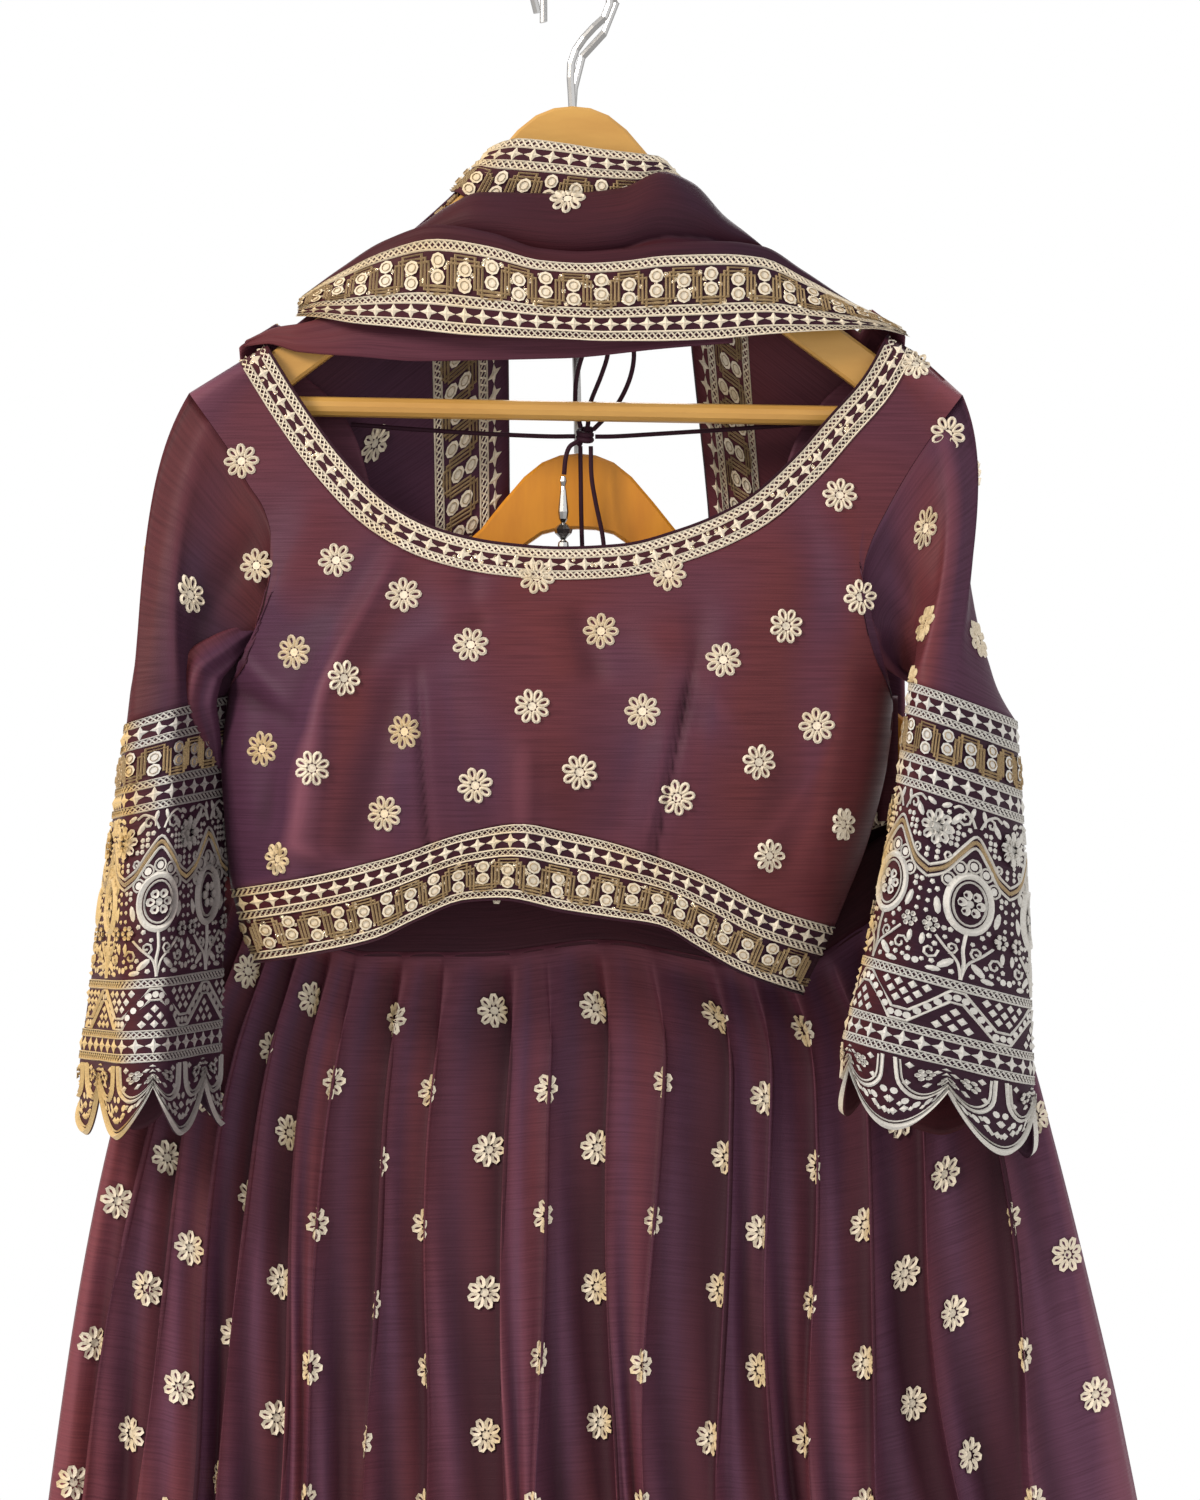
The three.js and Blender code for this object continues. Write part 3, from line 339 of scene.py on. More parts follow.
class Cloth:
    """A surface of cloth as a fine grid: at(u, v) gives its face in millimetres, out turns its normals."""

    def __init__(self, at, us, vs, out, closed=False):
        self.us, self.vs, self.closed = np.asarray(us, float), np.asarray(vs, float), closed
        grid_u, grid_v = np.meshgrid(self.us, self.vs, indexing="ij")
        self.face = np.stack(np.broadcast_arrays(*at(grid_u, grid_v)), -1).astype(float)
        if closed:
            self.face[-1] = self.face[0]
        along, down = np.gradient(self.face, axis=0), np.gradient(self.face, axis=1)
        if closed:
            along[0] = along[-1] = (self.face[1] - self.face[-2]) / 2
        normal = np.cross(along, down) * out
        self.normal = normal / np.maximum(np.linalg.norm(normal, axis=-1, keepdims=True), 1e-9)
        self.run = self._sum(np.linalg.norm(np.diff(self.face, axis=0), axis=-1), 0)
        self.fall = self._sum(np.linalg.norm(np.diff(self.face, axis=1), axis=-1), 1)

    def area(self):
        a, b = np.diff(self.face[:, :-1], axis=0), np.diff(self.face[:-1], axis=1)
        c, d = np.diff(self.face[:, 1:], axis=0), np.diff(self.face[1:], axis=1)
        halves = np.linalg.norm(np.cross(a, b), axis=-1) + np.linalg.norm(np.cross(c, d), axis=-1)
        return halves.sum() / 2

    def beside(self, grid, reach):
        """A grid's mean over the columns on either side."""
        columns = np.arange(len(self.us))[:, None] + np.arange(-reach, reach + 1)
        return grid[np.clip(columns, 0, len(self.us) - 1)].mean(1)

    @staticmethod
    def _sum(steps, axis):
        pad = [(1, 0) if k == axis else (0, 0) for k in range(2)]
        return np.pad(np.cumsum(steps, axis=axis), pad)

    def index(self, u, v):
        u = u % 1 if self.closed else u
        return np.interp(u, self.us, np.arange(len(self.us))), np.interp(v, self.vs, np.arange(len(self.vs)))

    def blend(self, grid, i, j):
        i0 = np.clip(i.astype(int), 0, grid.shape[0] - 2)
        j0 = np.clip(j.astype(int), 0, grid.shape[1] - 2)
        f, g = (i - i0), (j - j0)
        if grid.ndim == 3:
            f, g = f[..., None], g[..., None]
        return ((1 - f) * (1 - g) * grid[i0, j0] + f * (1 - g) * grid[i0 + 1, j0]
                + (1 - f) * g * grid[i0, j0 + 1] + f * g * grid[i0 + 1, j0 + 1])

    def raised(self, i, j, height):
        """Points at a height over the cloth, with the way the cloth leans there as a fourth column."""
        normal = self.blend(self.normal, i, j)
        return np.concatenate([self.blend(self.face, i, j) + normal * height[..., None], normal[..., :1]], -1)

    def band(self, u_range, v_range, size, across=False, behind=False):
        """Lays flat work of a size (millimetres) over a stretch of the cloth, or across it."""
        def put(co):
            height = -co[..., 2] - CLOTH if behind else co[..., 2]
            a, b = co[..., 0] / size[0], co[..., 1] / size[1]
            if across:
                a, b = b, a
            return self.raised(*self.index(lerp(*u_range, a), lerp(*v_range, b)), height)
        return put

    def border(self, rows, tall, u_range=(0, 1), v_range=(0, 1), across=False, behind=False):
        """Rows of repeated work, each (motif, from, to) over a border of that height."""
        layers = []
        for motif, top, low in rows:
            middle = (top + low) / 2 / tall
            line = even(200)
            u, v = (middle + 0 * line, line) if across else (line, middle + 0 * line)
            points = self.blend(self.face, *self.index(lerp(*u_range, u), lerp(*v_range, v)))
            length = np.linalg.norm(np.diff(points, axis=0), axis=1).sum()
            count = motif.count or max(1, round(length / motif.pitch))
            each = length / count
            a = (np.arange(count) + 0.5) * each
            layers.append((motif, spots(a, (top + low) / 2, 0, each / motif.pitch, (low - top) / motif.tall),
                           self.band(u_range, v_range, (length, tall), across, behind)))
        return layers

    def scatter(self, places, behind=False):
        """Lays copies of a motif, one at each place (u, v), true to size along and down the cloth."""
        i0, j0 = self.index(*np.asarray(places, float).T)
        rows = np.arange(len(self.vs))

        def put(co):
            i_c, j_c = i0[:, None] + 0 * co[..., 0], j0[:, None] + 0 * co[..., 0]
            down = self.blend(self.fall, i_c, j_c) + co[..., 1]
            column = np.clip(np.rint(i0).astype(int), 0, len(self.us) - 1)
            j = np.stack([np.interp(down[k], self.fall[column[k]], rows) for k in range(len(co))])
            target = self.blend(self.run, i_c, j) + co[..., 0]
            low = np.clip(j.astype(int), 0, len(self.vs) - 2)
            share, i = j - low, np.zeros_like(j)
            for row in np.unique(low):
                here = low == row
                a = np.interp(target[here], self.run[:, row], np.arange(len(self.us)))
                b = np.interp(target[here], self.run[:, row + 1], np.arange(len(self.us)))
                i[here] = lerp(a, b, share[here])
            return self.raised(i, j, -co[..., 2] - CLOTH if behind else co[..., 2])
        return put

    def spot(self, x, z):
        """The place (u, v) that lies nearest to a point seen from the front."""
        flat = self.face[..., [0, 2]]
        found = []
        for px, pz in zip(np.atleast_1d(x), np.atleast_1d(z)):
            i, j = np.unravel_index(np.argmin(((flat - (px, pz)) ** 2).sum(-1)), flat.shape[:2])
            found.append((self.us[i], self.vs[j]))
        return found

    def piece(self, name, material, upright=False):
        """Builds the cloth; its weave follows its folds, or runs level where the cloth is cut flat."""
        nu, nv = self.face.shape[:2]
        mesh = grid_mesh(name, nu - 1, nv - 1, 0.5)
        flat = coordinates(mesh)
        i = np.rint((flat[:, 0] + 0.5) * (nu - 1)).astype(int)
        j = np.rint((flat[:, 1] + 0.5) * (nv - 1)).astype(int)
        mesh.vertices.foreach_set("co", (self.face[i, j] * MM).ravel())
        # The way the cloth leans, which the silk turns into painted sheen; on the blouse it is turned the
        # other way
        note(mesh, "lean", self.beside(self.normal, LEAN_REACH)[i, j, 0] * (-1 if upright else 1))
        # How far the cloth lies behind its neighbours, for the silk's painted shade and painted highlight
        behind = ((self.beside(self.face, HOLLOW_REACH) - self.face) * self.normal).sum(-1)
        note(mesh, "hollow", behind[i, j])
        folded = np.stack([self.run[i, nv // 2], self.fall[nu // 2, j]], 1)
        set_uv(mesh, (self.face[i, j][:, [0, 2]] if upright else folded) * MM)
        obj = finished(name, mesh, [material], smooth=True)
        if np.dot(first_normal(mesh), self.normal[1, 1]) < 0:
            mesh.flip_normals()
        if self.closed:
            weld(mesh)
        wall = obj.modifiers.new("thickness", "SOLIDIFY")
        wall.thickness, wall.offset = CLOTH * MM, -1
        return obj


def grid_mesh(name, columns, rows, half):
    """A flat grid of that many faces, as far as half to every side."""
    bm = bmesh.new()
    bmesh.ops.create_grid(bm, x_segments=columns, y_segments=rows, size=half)
    mesh = bpy.data.meshes.new(name)
    bm.to_mesh(mesh)
    bm.free()
    return mesh


def first_normal(mesh):
    """Which way the first face of a cloth points."""
    normals = np.zeros(len(mesh.polygons) * 3)
    mesh.polygons.foreach_get("normal", normals)
    return normals[:3]


def coordinates(mesh):
    """Every vertex of a mesh, a row each."""
    co = np.zeros(len(mesh.vertices) * 3)
    mesh.vertices.foreach_get("co", co)
    return co.reshape(-1, 3)


def note(mesh, name, values):
    """Keeps a value for each vertex, for the materials to read."""
    mesh.attributes.new(name, "FLOAT", "POINT").data.foreach_set("value", values)


def set_uv(mesh, points):
    layer = mesh.uv_layers[0] if mesh.uv_layers else mesh.uv_layers.new(name="cloth")
    corner = np.zeros(len(mesh.loops), int)
    mesh.loops.foreach_get("vertex_index", corner)
    layer.data.foreach_set("uv", points[corner].ravel())


def weld(mesh):
    bm = bmesh.new()
    bm.from_mesh(mesh)
    bmesh.ops.remove_doubles(bm, verts=bm.verts, dist=1e-6)
    bm.to_mesh(mesh)
    bm.free()


def finished(name, mesh, materials, smooth=True):
    """A piece of the part that shows a mesh."""
    mesh.update()
    obj = linked(name, mesh)
    for material in materials:
        mesh.materials.append(material)
    mesh.polygons.foreach_set("use_smooth", [smooth] * len(mesh.polygons))
    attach(obj, "root")
    return obj


# ---- Materials --------------------------------------------------------------------------------
class Value:
    """A node's output, with the sums and products that a shader needs."""

    def __init__(self, nodes, socket):
        self.nodes, self.socket = nodes, socket

    def _math(self, operation, *others):
        return self.nodes("ShaderNodeMath", {"operation": operation}, *others)

    def __add__(self, other):
        return self._math("ADD", self, other)

    def __radd__(self, other):
        return self._math("ADD", other, self)

    def __sub__(self, other):
        return self._math("SUBTRACT", self, other)

    def __rsub__(self, other):
        return self._math("SUBTRACT", other, self)

    def __mul__(self, other):
        return self._math("MULTIPLY", self, other)

    def __rmul__(self, other):
        return self._math("MULTIPLY", other, self)

    def clamped(self):
        return self.nodes("ShaderNodeMath", {"operation": "ADD", "use_clamp": True}, self, 0.0)


MIX_SOCKETS, MIXED = (0, 6, 7), 2  # a colour mix's share and colours, and its output
PLAIN = 2  # an attribute's output as one number


class Finish:
    """A material under construction: calling it adds a node and returns one of its outputs."""

    def __init__(self, name, roughness, metallic=0.0, **constants):
        self.material = bpy.data.materials.new(name)
        self.material.use_nodes = True
        self.tree = self.material.node_tree
        self.shader = self.tree.nodes["Principled BSDF"]
        self.shader.inputs["Roughness"].default_value = roughness
        self.shader.inputs["Metallic"].default_value = metallic
        for socket, value in constants.items():
            self.shader.inputs[socket.replace("_", " ")].default_value = value

    def __call__(self, kind, settings, *inputs, output=0, places=None, **named):
        node = self.tree.nodes.new(kind)
        for key, value in settings.items():
            setattr(node, key, value)
        pairs = [(node.inputs[k], value) for k, value in zip(places or range(len(inputs)), inputs)]
        pairs += [(node.inputs[key.replace("_", " ")], value) for key, value in named.items()]
        for socket, value in pairs:
            if isinstance(value, Value):
                self.tree.links.new(value.socket, socket)
            else:
                socket.default_value = value
        return Value(self, node.outputs[output])

    def set(self, socket, value):
        self.tree.links.new(value.socket, self.shader.inputs[socket])

    def noted(self, name):
        return self("ShaderNodeAttribute", {"attribute_name": name}, output=PLAIN)

    def place(self, scale, source="UV"):
        coords = self("ShaderNodeTexCoord", {}, output=source)
        return self("ShaderNodeMapping", {}, coords, Scale=scale)

    def noise(self, scale, detail=2.0, source="UV"):
        place = self.place(scale, source)
        return self("ShaderNodeTexNoise", {}, place, Scale=1.0, Detail=detail, Roughness=0.5)

    def mix(self, share, a, b):
        """A colour between two."""
        a, b = (colour if isinstance(colour, Value) else (*colour, 1) for colour in (a, b))
        return self("ShaderNodeMix", {"data_type": "RGBA"}, share, a, b, output=MIXED, places=MIX_SOCKETS)

    def bump(self, height, strength, distance):
        self.set("Normal", self("ShaderNodeBump", {}, Height=height, Strength=strength, Distance=distance))


def hue(*channels):
    """A colour from its 0 to 255 values, as the linear light that a shader takes."""
    return tuple(((c / 255 + 0.055) / 1.055) ** 2.4 if c > 10 else c / 255 / 12.92 for c in channels)


def silk_material(name, red, purple, deep, crown_highlight):
    """Shot silk crepe: red and purple threads that show by turns in random patches and, as a painted sheen,
    as the cloth leans; with fine slubs in its dark colour, painted shade in that colour in the hollows of its
    folds, and a painted highlight on their crowns."""
    f = Finish(name, 0.5, Sheen_Weight=0.03, Sheen_Roughness=0.3, Sheen_Tint=(0.8, 0.35, 0.42, 1),
               Specular_IOR_Level=0.1)
    lean, hollow = f.noted("lean"), f.noted("hollow")
    cloud = f.noise((7, 5, 7), 3.0, "Object")
    slub = f.noise((26, 1000, 1), 3.0)
    crepe = f.noise((900, 2200, 1), 2.0)
    # Which thread shows: random patches, and a painted sheen that follows the way the cloth leans
    shot_tone_and_painted_sheen = ((lean * 1.7 + 0.5) + (cloud - 0.5) * 1.5).clamped()
    slubs = ((slub - 0.4) * 1.9).clamped() * 0.6
    # Painted shade: the hollows of the folds darkened towards the dark colour
    hollow_shade = (hollow * 0.18 - 0.03).clamped() * 0.85
    # Painted highlight: the crowns of the folds lightened towards the highlight colour
    crown_highlight_share = (hollow * -0.2 - 0.42).clamped() * 0.5
    colour = f.mix(shot_tone_and_painted_sheen, red, purple)
    colour = f.mix(slubs, colour, deep)
    colour = f.mix(hollow_shade, colour, deep)
    colour = f.mix(crown_highlight_share, colour, crown_highlight)
    f.set("Base Color", colour)
    f.set("Roughness", (slub * 0.25 + 0.42).clamped())
    f.bump(slub * 0.7 + crepe * 0.5, 0.35, 0.0006)
    return f.material


# THREAD_SHADE is the painted shade of thread that is turned inward
THREAD_GROOVE, THREAD_SHADE = hue(120, 98, 74), hue(66, 46, 48)


def thread_material(name, silver, gold_and_warm_light, warmth, shade=0.0):
    """Padded thread: cool on one side, and golden in random patches and, as painted warm light, on the side
    that leans the other way, with painted shade, as strong as shade says, on what is turned inward."""
    f = Finish(name, 0.55, Sheen_Weight=0.15, Specular_IOR_Level=0.4)
    lean = f.noted("lean")
    cloud = f.noise((24, 24, 24), 2.0, "Object")
    # Gold in random patches, and painted warm light where the thread leans to the left, towards the key light
    share = ((cloud - 0.5) * 2.4 - lean * 1.6 + warmth).clamped()
    twist = f.noise((900, 900, 900), 2.0, "Object")
    # Painted shade on thread whose cloth turns inward, away from the light
    inward_shade = ((lean - 0.3) * 2.5).clamped() * shade
    colour = f.mix(twist * 0.5, f.mix(share, silver, gold_and_warm_light), THREAD_GROOVE)
    f.set("Base Color", f.mix(inward_shade, colour, THREAD_SHADE))
    f.bump(twist, 0.6, 0.0006)
    return f.material


def bead_material(name, light, dark, metallic, roughness, grain):
    """Fine grains, dark in between, with that many to the metre."""
    f = Finish(name, roughness, metallic)
    grains = f("ShaderNodeTexVoronoi", {}, f.place((grain, grain, grain), "Object"), output=0)
    f.set("Base Color", f.mix((grains * 1.3).clamped(), light, dark))
    f.bump(1 - grains, 0.8, 0.0008)
    return f.material


def wood_material(name, light, dark, along):
    """Fine straight grain under a thin varnish."""
    f = Finish(name, 0.42, Coat_Weight=0.12, Coat_Roughness=0.25, Specular_IOR_Level=0.3)
    grain = f.noise(along, 3.0, "Object")
    streak = f.noise(tuple(x * 6 for x in along), 2.0, "Object")
    veins = ((grain - 0.3) * 1.5 * 0.8 + streak * 0.25).clamped()
    f.set("Base Color", f.mix(veins, light, dark))
    f.bump(streak, 0.15, 0.0004)
    return f.material


# Each silk: its red, its purple, its dark for slubs and painted shade, and its painted highlight
SILK = silk_material("shot_silk", hue(88, 41, 44), hue(69, 40, 57), hue(34, 12, 19), hue(128, 74, 84))
# A darker copy of the silk: painted shade on the waistband, the work's grounds and the scarf's wraps
SILK_IN_PAINTED_SHADE = silk_material("silk_in_painted_shade", hue(62, 24, 28), hue(46, 23, 36), hue(24, 9, 14), hue(80, 38, 46))
# A lighter copy of the silk, with a paler highlight: painted light on the skirt
SKIRT_SILK_PAINTED_LIGHT = silk_material("skirt_silk_painted_light", hue(100, 48, 52), hue(80, 48, 66), hue(42, 17, 25), hue(140, 84, 94))
# A darker copy of the silk: painted shade on the left sleeve
LEFT_SLEEVE_PAINTED_SHADE = silk_material("left_sleeve_silk_painted_shade", hue(74, 34, 37), hue(58, 34, 48), hue(30, 11, 17), hue(98, 54, 64))
PIPING = silk_material("dark_piping", hue(50, 22, 32), hue(44, 22, 34), hue(30, 14, 20), hue(60, 30, 40))
IVORY = thread_material("ivory_thread", hue(224, 212, 190), hue(212, 188, 144), -0.12)
# The left cuff's thread, with painted shade on its inward side
SILVER = thread_material("silver_thread", hue(208, 206, 200), hue(204, 172, 112), -0.25, 0.75)
BRONZE = bead_material("bronze_beads", hue(222, 196, 148), hue(150, 120, 84), 0.25, 0.35, 700)
FLAKE = bead_material("sequins", hue(236, 226, 206), hue(206, 184, 150), 0.85, 0.18, 200)
WOOD = wood_material("pale_wood", hue(184, 141, 72), hue(152, 106, 48), (14, 60, 60))
WOOD_DARK = wood_material("orange_wood", hue(204, 134, 30), hue(168, 98, 18), (60, 60, 14))
STEEL = Finish("bright_steel", 0.24, 1.0, Base_Color=(*hue(150, 148, 146), 1)).material
# The right cuff's thread: the same colours, with less painted warm light and no painted shade
PALE = thread_material("pale_thread", hue(208, 206, 200), hue(204, 172, 112), -1.0)
WORK = [IVORY, BRONZE, FLAKE, PIPING]
CUFF_WORK = {"left": [SILVER, BRONZE, FLAKE, PIPING], "right": [PALE, BRONZE, FLAKE, PIPING]}


# ---- Blouse -----------------------------------------------------------------------------------
def on(line, s):
    """Where a line lies at a share s of its length."""
    return read(line, "s", "x", s), read(line, "s", "z", s)


necks = {"front": measured(FRONT_NECK), "back": measured(BACK_NECK)}
sides = {"left": measured(LEFT_SIDE), "right": measured(RIGHT_SIDE)}
hem_top, hem_low = measured(HEM_TOP), measured(HEM_LOW)

# Soft creases and darts of the blouse's front: from one end to the other, how wide and how deep.
DART_WIDE = 3  # what is narrower than this is a sewn dart
DART_DEPTH, CREASE_DEPTH = 1.5, 1.3
CREASES = table("x1 z1 x2 z2 wide deep", [-126, -372, -150, -500, 13, 5],
    [-96, -400, -118, -490, 11, -3.5], [-83, -402, -77, -492, 2.5, -3], [64, -394, 44, -494, 2.5, -3],
    [-94, -325, -136, -402, 7, 3.6], [-136, -402, -154, -489, 8, 3.8], [-57, -338, -52, -370, 9, -3],
    [0, -360, 12, -396, 9, -3], [68, -360, 62, -425, 12, -3.4], [-80, -402, -70, -492, 9, 2.2],
    [60, -396, 38, -490, 9, 2.2], [-100, -505, -150, -488, 5, 1.8], [-160, -405, -185, -382, 4, 2.6],
    [-150, -418, -186, -400, 4, -2.2], [40, -372, 100, -430, 10, 1.8], [-40, -345, -110, -395, 9, 2],
    [96, -500, 128, -452, 6, 1.8], [-60, -350, -30, -470, 20, 3], [20, -350, 10, -480, 24, -3],
    [92, -340, 60, -480, 22, 3.5], [128, -330, 110, -500, 16, -3], [-27, -505, -24, -430, 9, 3],
    [150, -400, 132, -500, 12, 3], [-172, -395, -160, -470, 10, -3], [-140, -300, -165, -360, 14, 2.5],
    [135, -290, 158, -370, 12, 2.5])


def crease(x, z):
    """How far the creases and darts stand out at a place."""
    total = 0 * x
    for x1, z1, x2, z2, wide, deep in zip(*CREASES.values()):
        dx, dz = x2 - x1, z2 - z1
        t = ((x - x1) * dx + (z - z1) * dz) / (dx * dx + dz * dz)
        away = ((x - x1) * dz - (z - z1) * dx) / math.hypot(dx, dz)
        stands = DART_DEPTH if wide < DART_WIDE else CREASE_DEPTH
        height = stands * deep * np.exp(-(away / wide) ** 2)
        total = total + height * ease(t, -0.25, 0.2) * (1 - ease(t, 0.8, 1.25))
    return total


SECTION_SQUARE = 4.5  # how squarely the blouse's section turns at its sides
SHOULDER_ROUND = 8  # how far down its shoulder rounds over


def shoulder_line(x):
    """How high the blouse's shoulder lies, from neck to tip."""
    tip = np.where(x < 0, LEFT_SIDE["x"][0], RIGHT_SIDE["x"][0])
    tip_z = np.where(x < 0, LEFT_SIDE["z"][0], RIGHT_SIDE["z"][0])
    neck = np.where(x < 0, FRONT_NECK["x"][0], FRONT_NECK["x"][-1])
    neck_z = np.where(x < 0, FRONT_NECK["z"][0], FRONT_NECK["z"][-1])
    return lerp(neck_z, tip_z, (x - neck) / (tip - neck))


def body_depth(side, x, z):
    """How far forward or back the blouse's front or back lies at a place."""
    left, right = read(BODY, "z", "left", z), read(BODY, "z", "right", z)
    share = np.minimum(1, np.abs((2 * x - left - right) / (right - left)))
    roll = np.sqrt(np.maximum(0, 1 - share ** SECTION_SQUARE))
    edge = read(BODY, "z", "edge", z)
    rim = np.where(edge > 0, edge, edge - 0.4 if side < 0 else 0.6 - edge)
    full = lerp(rim, read(BODY, "z", "front" if side < 0 else "back", z), roll)
    if side < 0:
        full = full - crease(x, z) * ease(roll, 0, 0.5) * ease(shoulder_line(x) - z, 10, 50)
    drop = np.clip((shoulder_line(x) - z) / SHOULDER_ROUND, 0, 1)
    return lerp(0.5 * side, full, np.sqrt(1 - (1 - drop) ** 2))


def beside_neck(neck, s, width):
    """Places that lie beside a neckline, at a distance from it."""
    ax, az = on(neck, np.maximum(0, s - 0.01))
    bx, bz = on(neck, np.minimum(1, s + 0.01))
    run = np.hypot(bx - ax, bz - az)
    x, z = on(neck, s)
    return x + width * (bz - az) / run, z - width * (bx - ax) / run


SIDE_SHARE = 0.31  # the share of a panel's rim that each side takes


def panel_rim(u):
    """A panel's outer rim: down its left side, along the hem's seam and up its right side."""
    beside = [u < SIDE_SHARE, u > 1 - SIDE_SHARE]
    left, right = on(sides["left"], u / SIDE_SHARE), on(sides["right"], (1 - u) / SIDE_SHARE)
    low = on(hem_top, (u - SIDE_SHARE) / (1 - 2 * SIDE_SHARE))
    return tuple(np.select(beside, [left[k], right[k]], low[k]) for k in (0, 1))


def panel(side, neck, inset):
    """The blouse's front or back, from its neck out to its rim."""
    def at(u, v):
        ax, az = beside_neck(neck, u, inset)
        bx, bz = panel_rim(u)
        x, z = lerp(ax, bx, v), lerp(az, bz, v)
        return x, body_depth(side, x, z), z
    return at


def neck_band(u, v):
    """The border along the front neck."""
    x, z = beside_neck(necks["front"], u, NECK_BORDER * v)
    return x, body_depth(-1, x, z) - 0.5 * np.sin(np.pi * v) ** 0.5, z


def hem_band(side):
    """The border along the hem, front or back."""
    def at(u, v):
        (ax, az), (bx, bz) = on(hem_top, u), on(hem_low, u)
        x, z = lerp(ax, bx, v), lerp(az, bz, v)
        return x, body_depth(side, x, z), z
    return at


shoulder_first = np.concatenate([even(9)[:-1] ** 1.5 * 0.03, np.linspace(0.03, 0.97, 250),
                                 1 - np.linspace(1, 0, 9)[1:] ** 1.5 * 0.03])
choli_front = Cloth(panel(-1, necks["front"], NECK_BORDER), shoulder_first, even(80), -1)
choli_back = Cloth(panel(1, necks["back"], 0), shoulder_first, even(36), 1)
neck_cloth = Cloth(neck_band, shoulder_first, even(7), -1)
hem_front = Cloth(hem_band(-1), even(110), even(14), -1)
hem_back = Cloth(hem_band(1), even(90), even(10), 1)

# ---- Sleeves ----------------------------------------------------------------------------------
RIDGE = 0.12  # where the ridge of a sleeve lies round it
UNDERARM = 0.47  # how far down the blouse's side the armhole reaches
HEAD, UNDER, BEHIND = 13, 18, 26  # how far the head stands out, the underside hangs and the back turns in
FULL = 9  # how far its front stands out halfway down
SCALLOPS, CUFF_TALL = 5, 236
SCALLOP_EDGE, SCALLOP_LOBE = 13, 28  # how far the hem falls at a lobe's edge, and further at its middle
CUFF_ROWS = 0.82  # the straight rows' share of a cuff's height

# The corners of the left sleeve's section, from its inner front round the back, at the cuff's top and foot.
SECTION_TOP = table("x y", [-215, -48], [-186, 3], [-247, 5], [-241, -46], [-215, -48])
SECTION_LOW = table("x y", [-219, -72], [-191, 2], [-275, 6], [-241, -70], [-219, -72])


def rounded_section(corners, softness=15, count=400):
    """The section's outline with soft corners, at even steps along it."""
    steps = np.hypot(np.diff(corners["x"]), np.diff(corners["y"]))
    length = np.concatenate([[0], np.cumsum(steps)]) / steps.sum()
    line = np.stack([np.interp(np.arange(count) / count, length, corners[k]) for k in "xy"])
    line = sum(np.roll(line, k, axis=1) for k in range(-softness, softness + 1)) / (2 * softness + 1)
    return np.concatenate([line, line[:, :1]], 1)


section_top, section_low = rounded_section(SECTION_TOP), rounded_section(SECTION_LOW)


def ring_point(rows, side, u, v):
    """A point of a cuff: of the folded section on the left, of a tilted oval on the right."""
    middle_x, middle_y, z, long, wide, turn, tilt = (
        read(rows, "v", k, v) for k in ("x", "y", "z", "long", "wide", "turn", "tilt"))
    if side < 0:
        places = np.arange(section_top.shape[1])
        around = ((u - RIDGE) % 1) * places[-1]
        x, y = (lerp(np.interp(around, places, top), np.interp(around, places, low), v)
                for top, low in zip(section_top, section_low))
        return x, y, z + tilt * (x - middle_x)
    turn = np.radians(turn)
    angle = 2 * np.pi * (u - RIDGE)
    along = -long * np.cos(angle)
    over = wide * np.sin(angle)
    x = side * (np.cos(turn) * along - np.sin(turn) * over)
    y = np.sin(turn) * along + np.cos(turn) * over
    x = x - side * BEHIND * np.clip(-side * x / 30, 0, 1) * np.clip(y / 24, 0, 1)
    return middle_x + x, middle_y + y, z + tilt * x


def armhole(name, side, u):
    """Where a sleeve is sewn on, round its arm."""
    front = u <= 0.5
    s = np.where(front, 2 * u, 2 * (1 - u)) * UNDERARM
    x, z = on(sides[name], s)
    y = np.where(front, body_depth(-1, x, z), body_depth(1, x, z))
    return x + side * 0.2, y * ease(np.minimum(u, 1 - u), 0, 0.08), z


# Creases of a sleeve: where each begins and ends round it and down it, how wide and how deep.
SLEEVE_CREASES = table("u1 v1 u2 v2 wide deep", [0.08, 0.02, 0.14, 1.0, 0.035, 3.4],
    [0.3, 0.05, 0.2, 0.95, 0.04, -3.0], [0.44, 0.3, 0.3, 0.8, 0.035, 2.6],
    [0.4, 0.95, 0.2, 0.45, 0.025, -3.6], [0.38, 0.75, 0.24, 0.25, 0.03, 3.2],
    [0.46, 0.62, 0.34, 1.0, 0.03, -2.8], [0.92, 0.1, 0.95, 0.9, 0.04, 2.4],
    [0.78, 0.15, 0.82, 0.9, 0.05, -2.4], [0.62, 0.2, 0.66, 0.9, 0.05, 2.4])


def sleeve_crease(u, v):
    """How far a sleeve's creases stand out at a place."""
    total = 0 * u
    for u1, v1, u2, v2, wide, deep in zip(*SLEEVE_CREASES.values()):
        t = np.clip((v - v1) / (v2 - v1), 0, 1)
        away = (u - lerp(u1, u2, t) + 0.5) % 1 - 0.5
        shown = ease(v, v1 - 0.1, v1 + 0.15) * (1 - ease(v, v2 - 0.12, v2 + 0.02))
        total = total + deep * np.exp(-(away / wide) ** 2) * shown
    return total


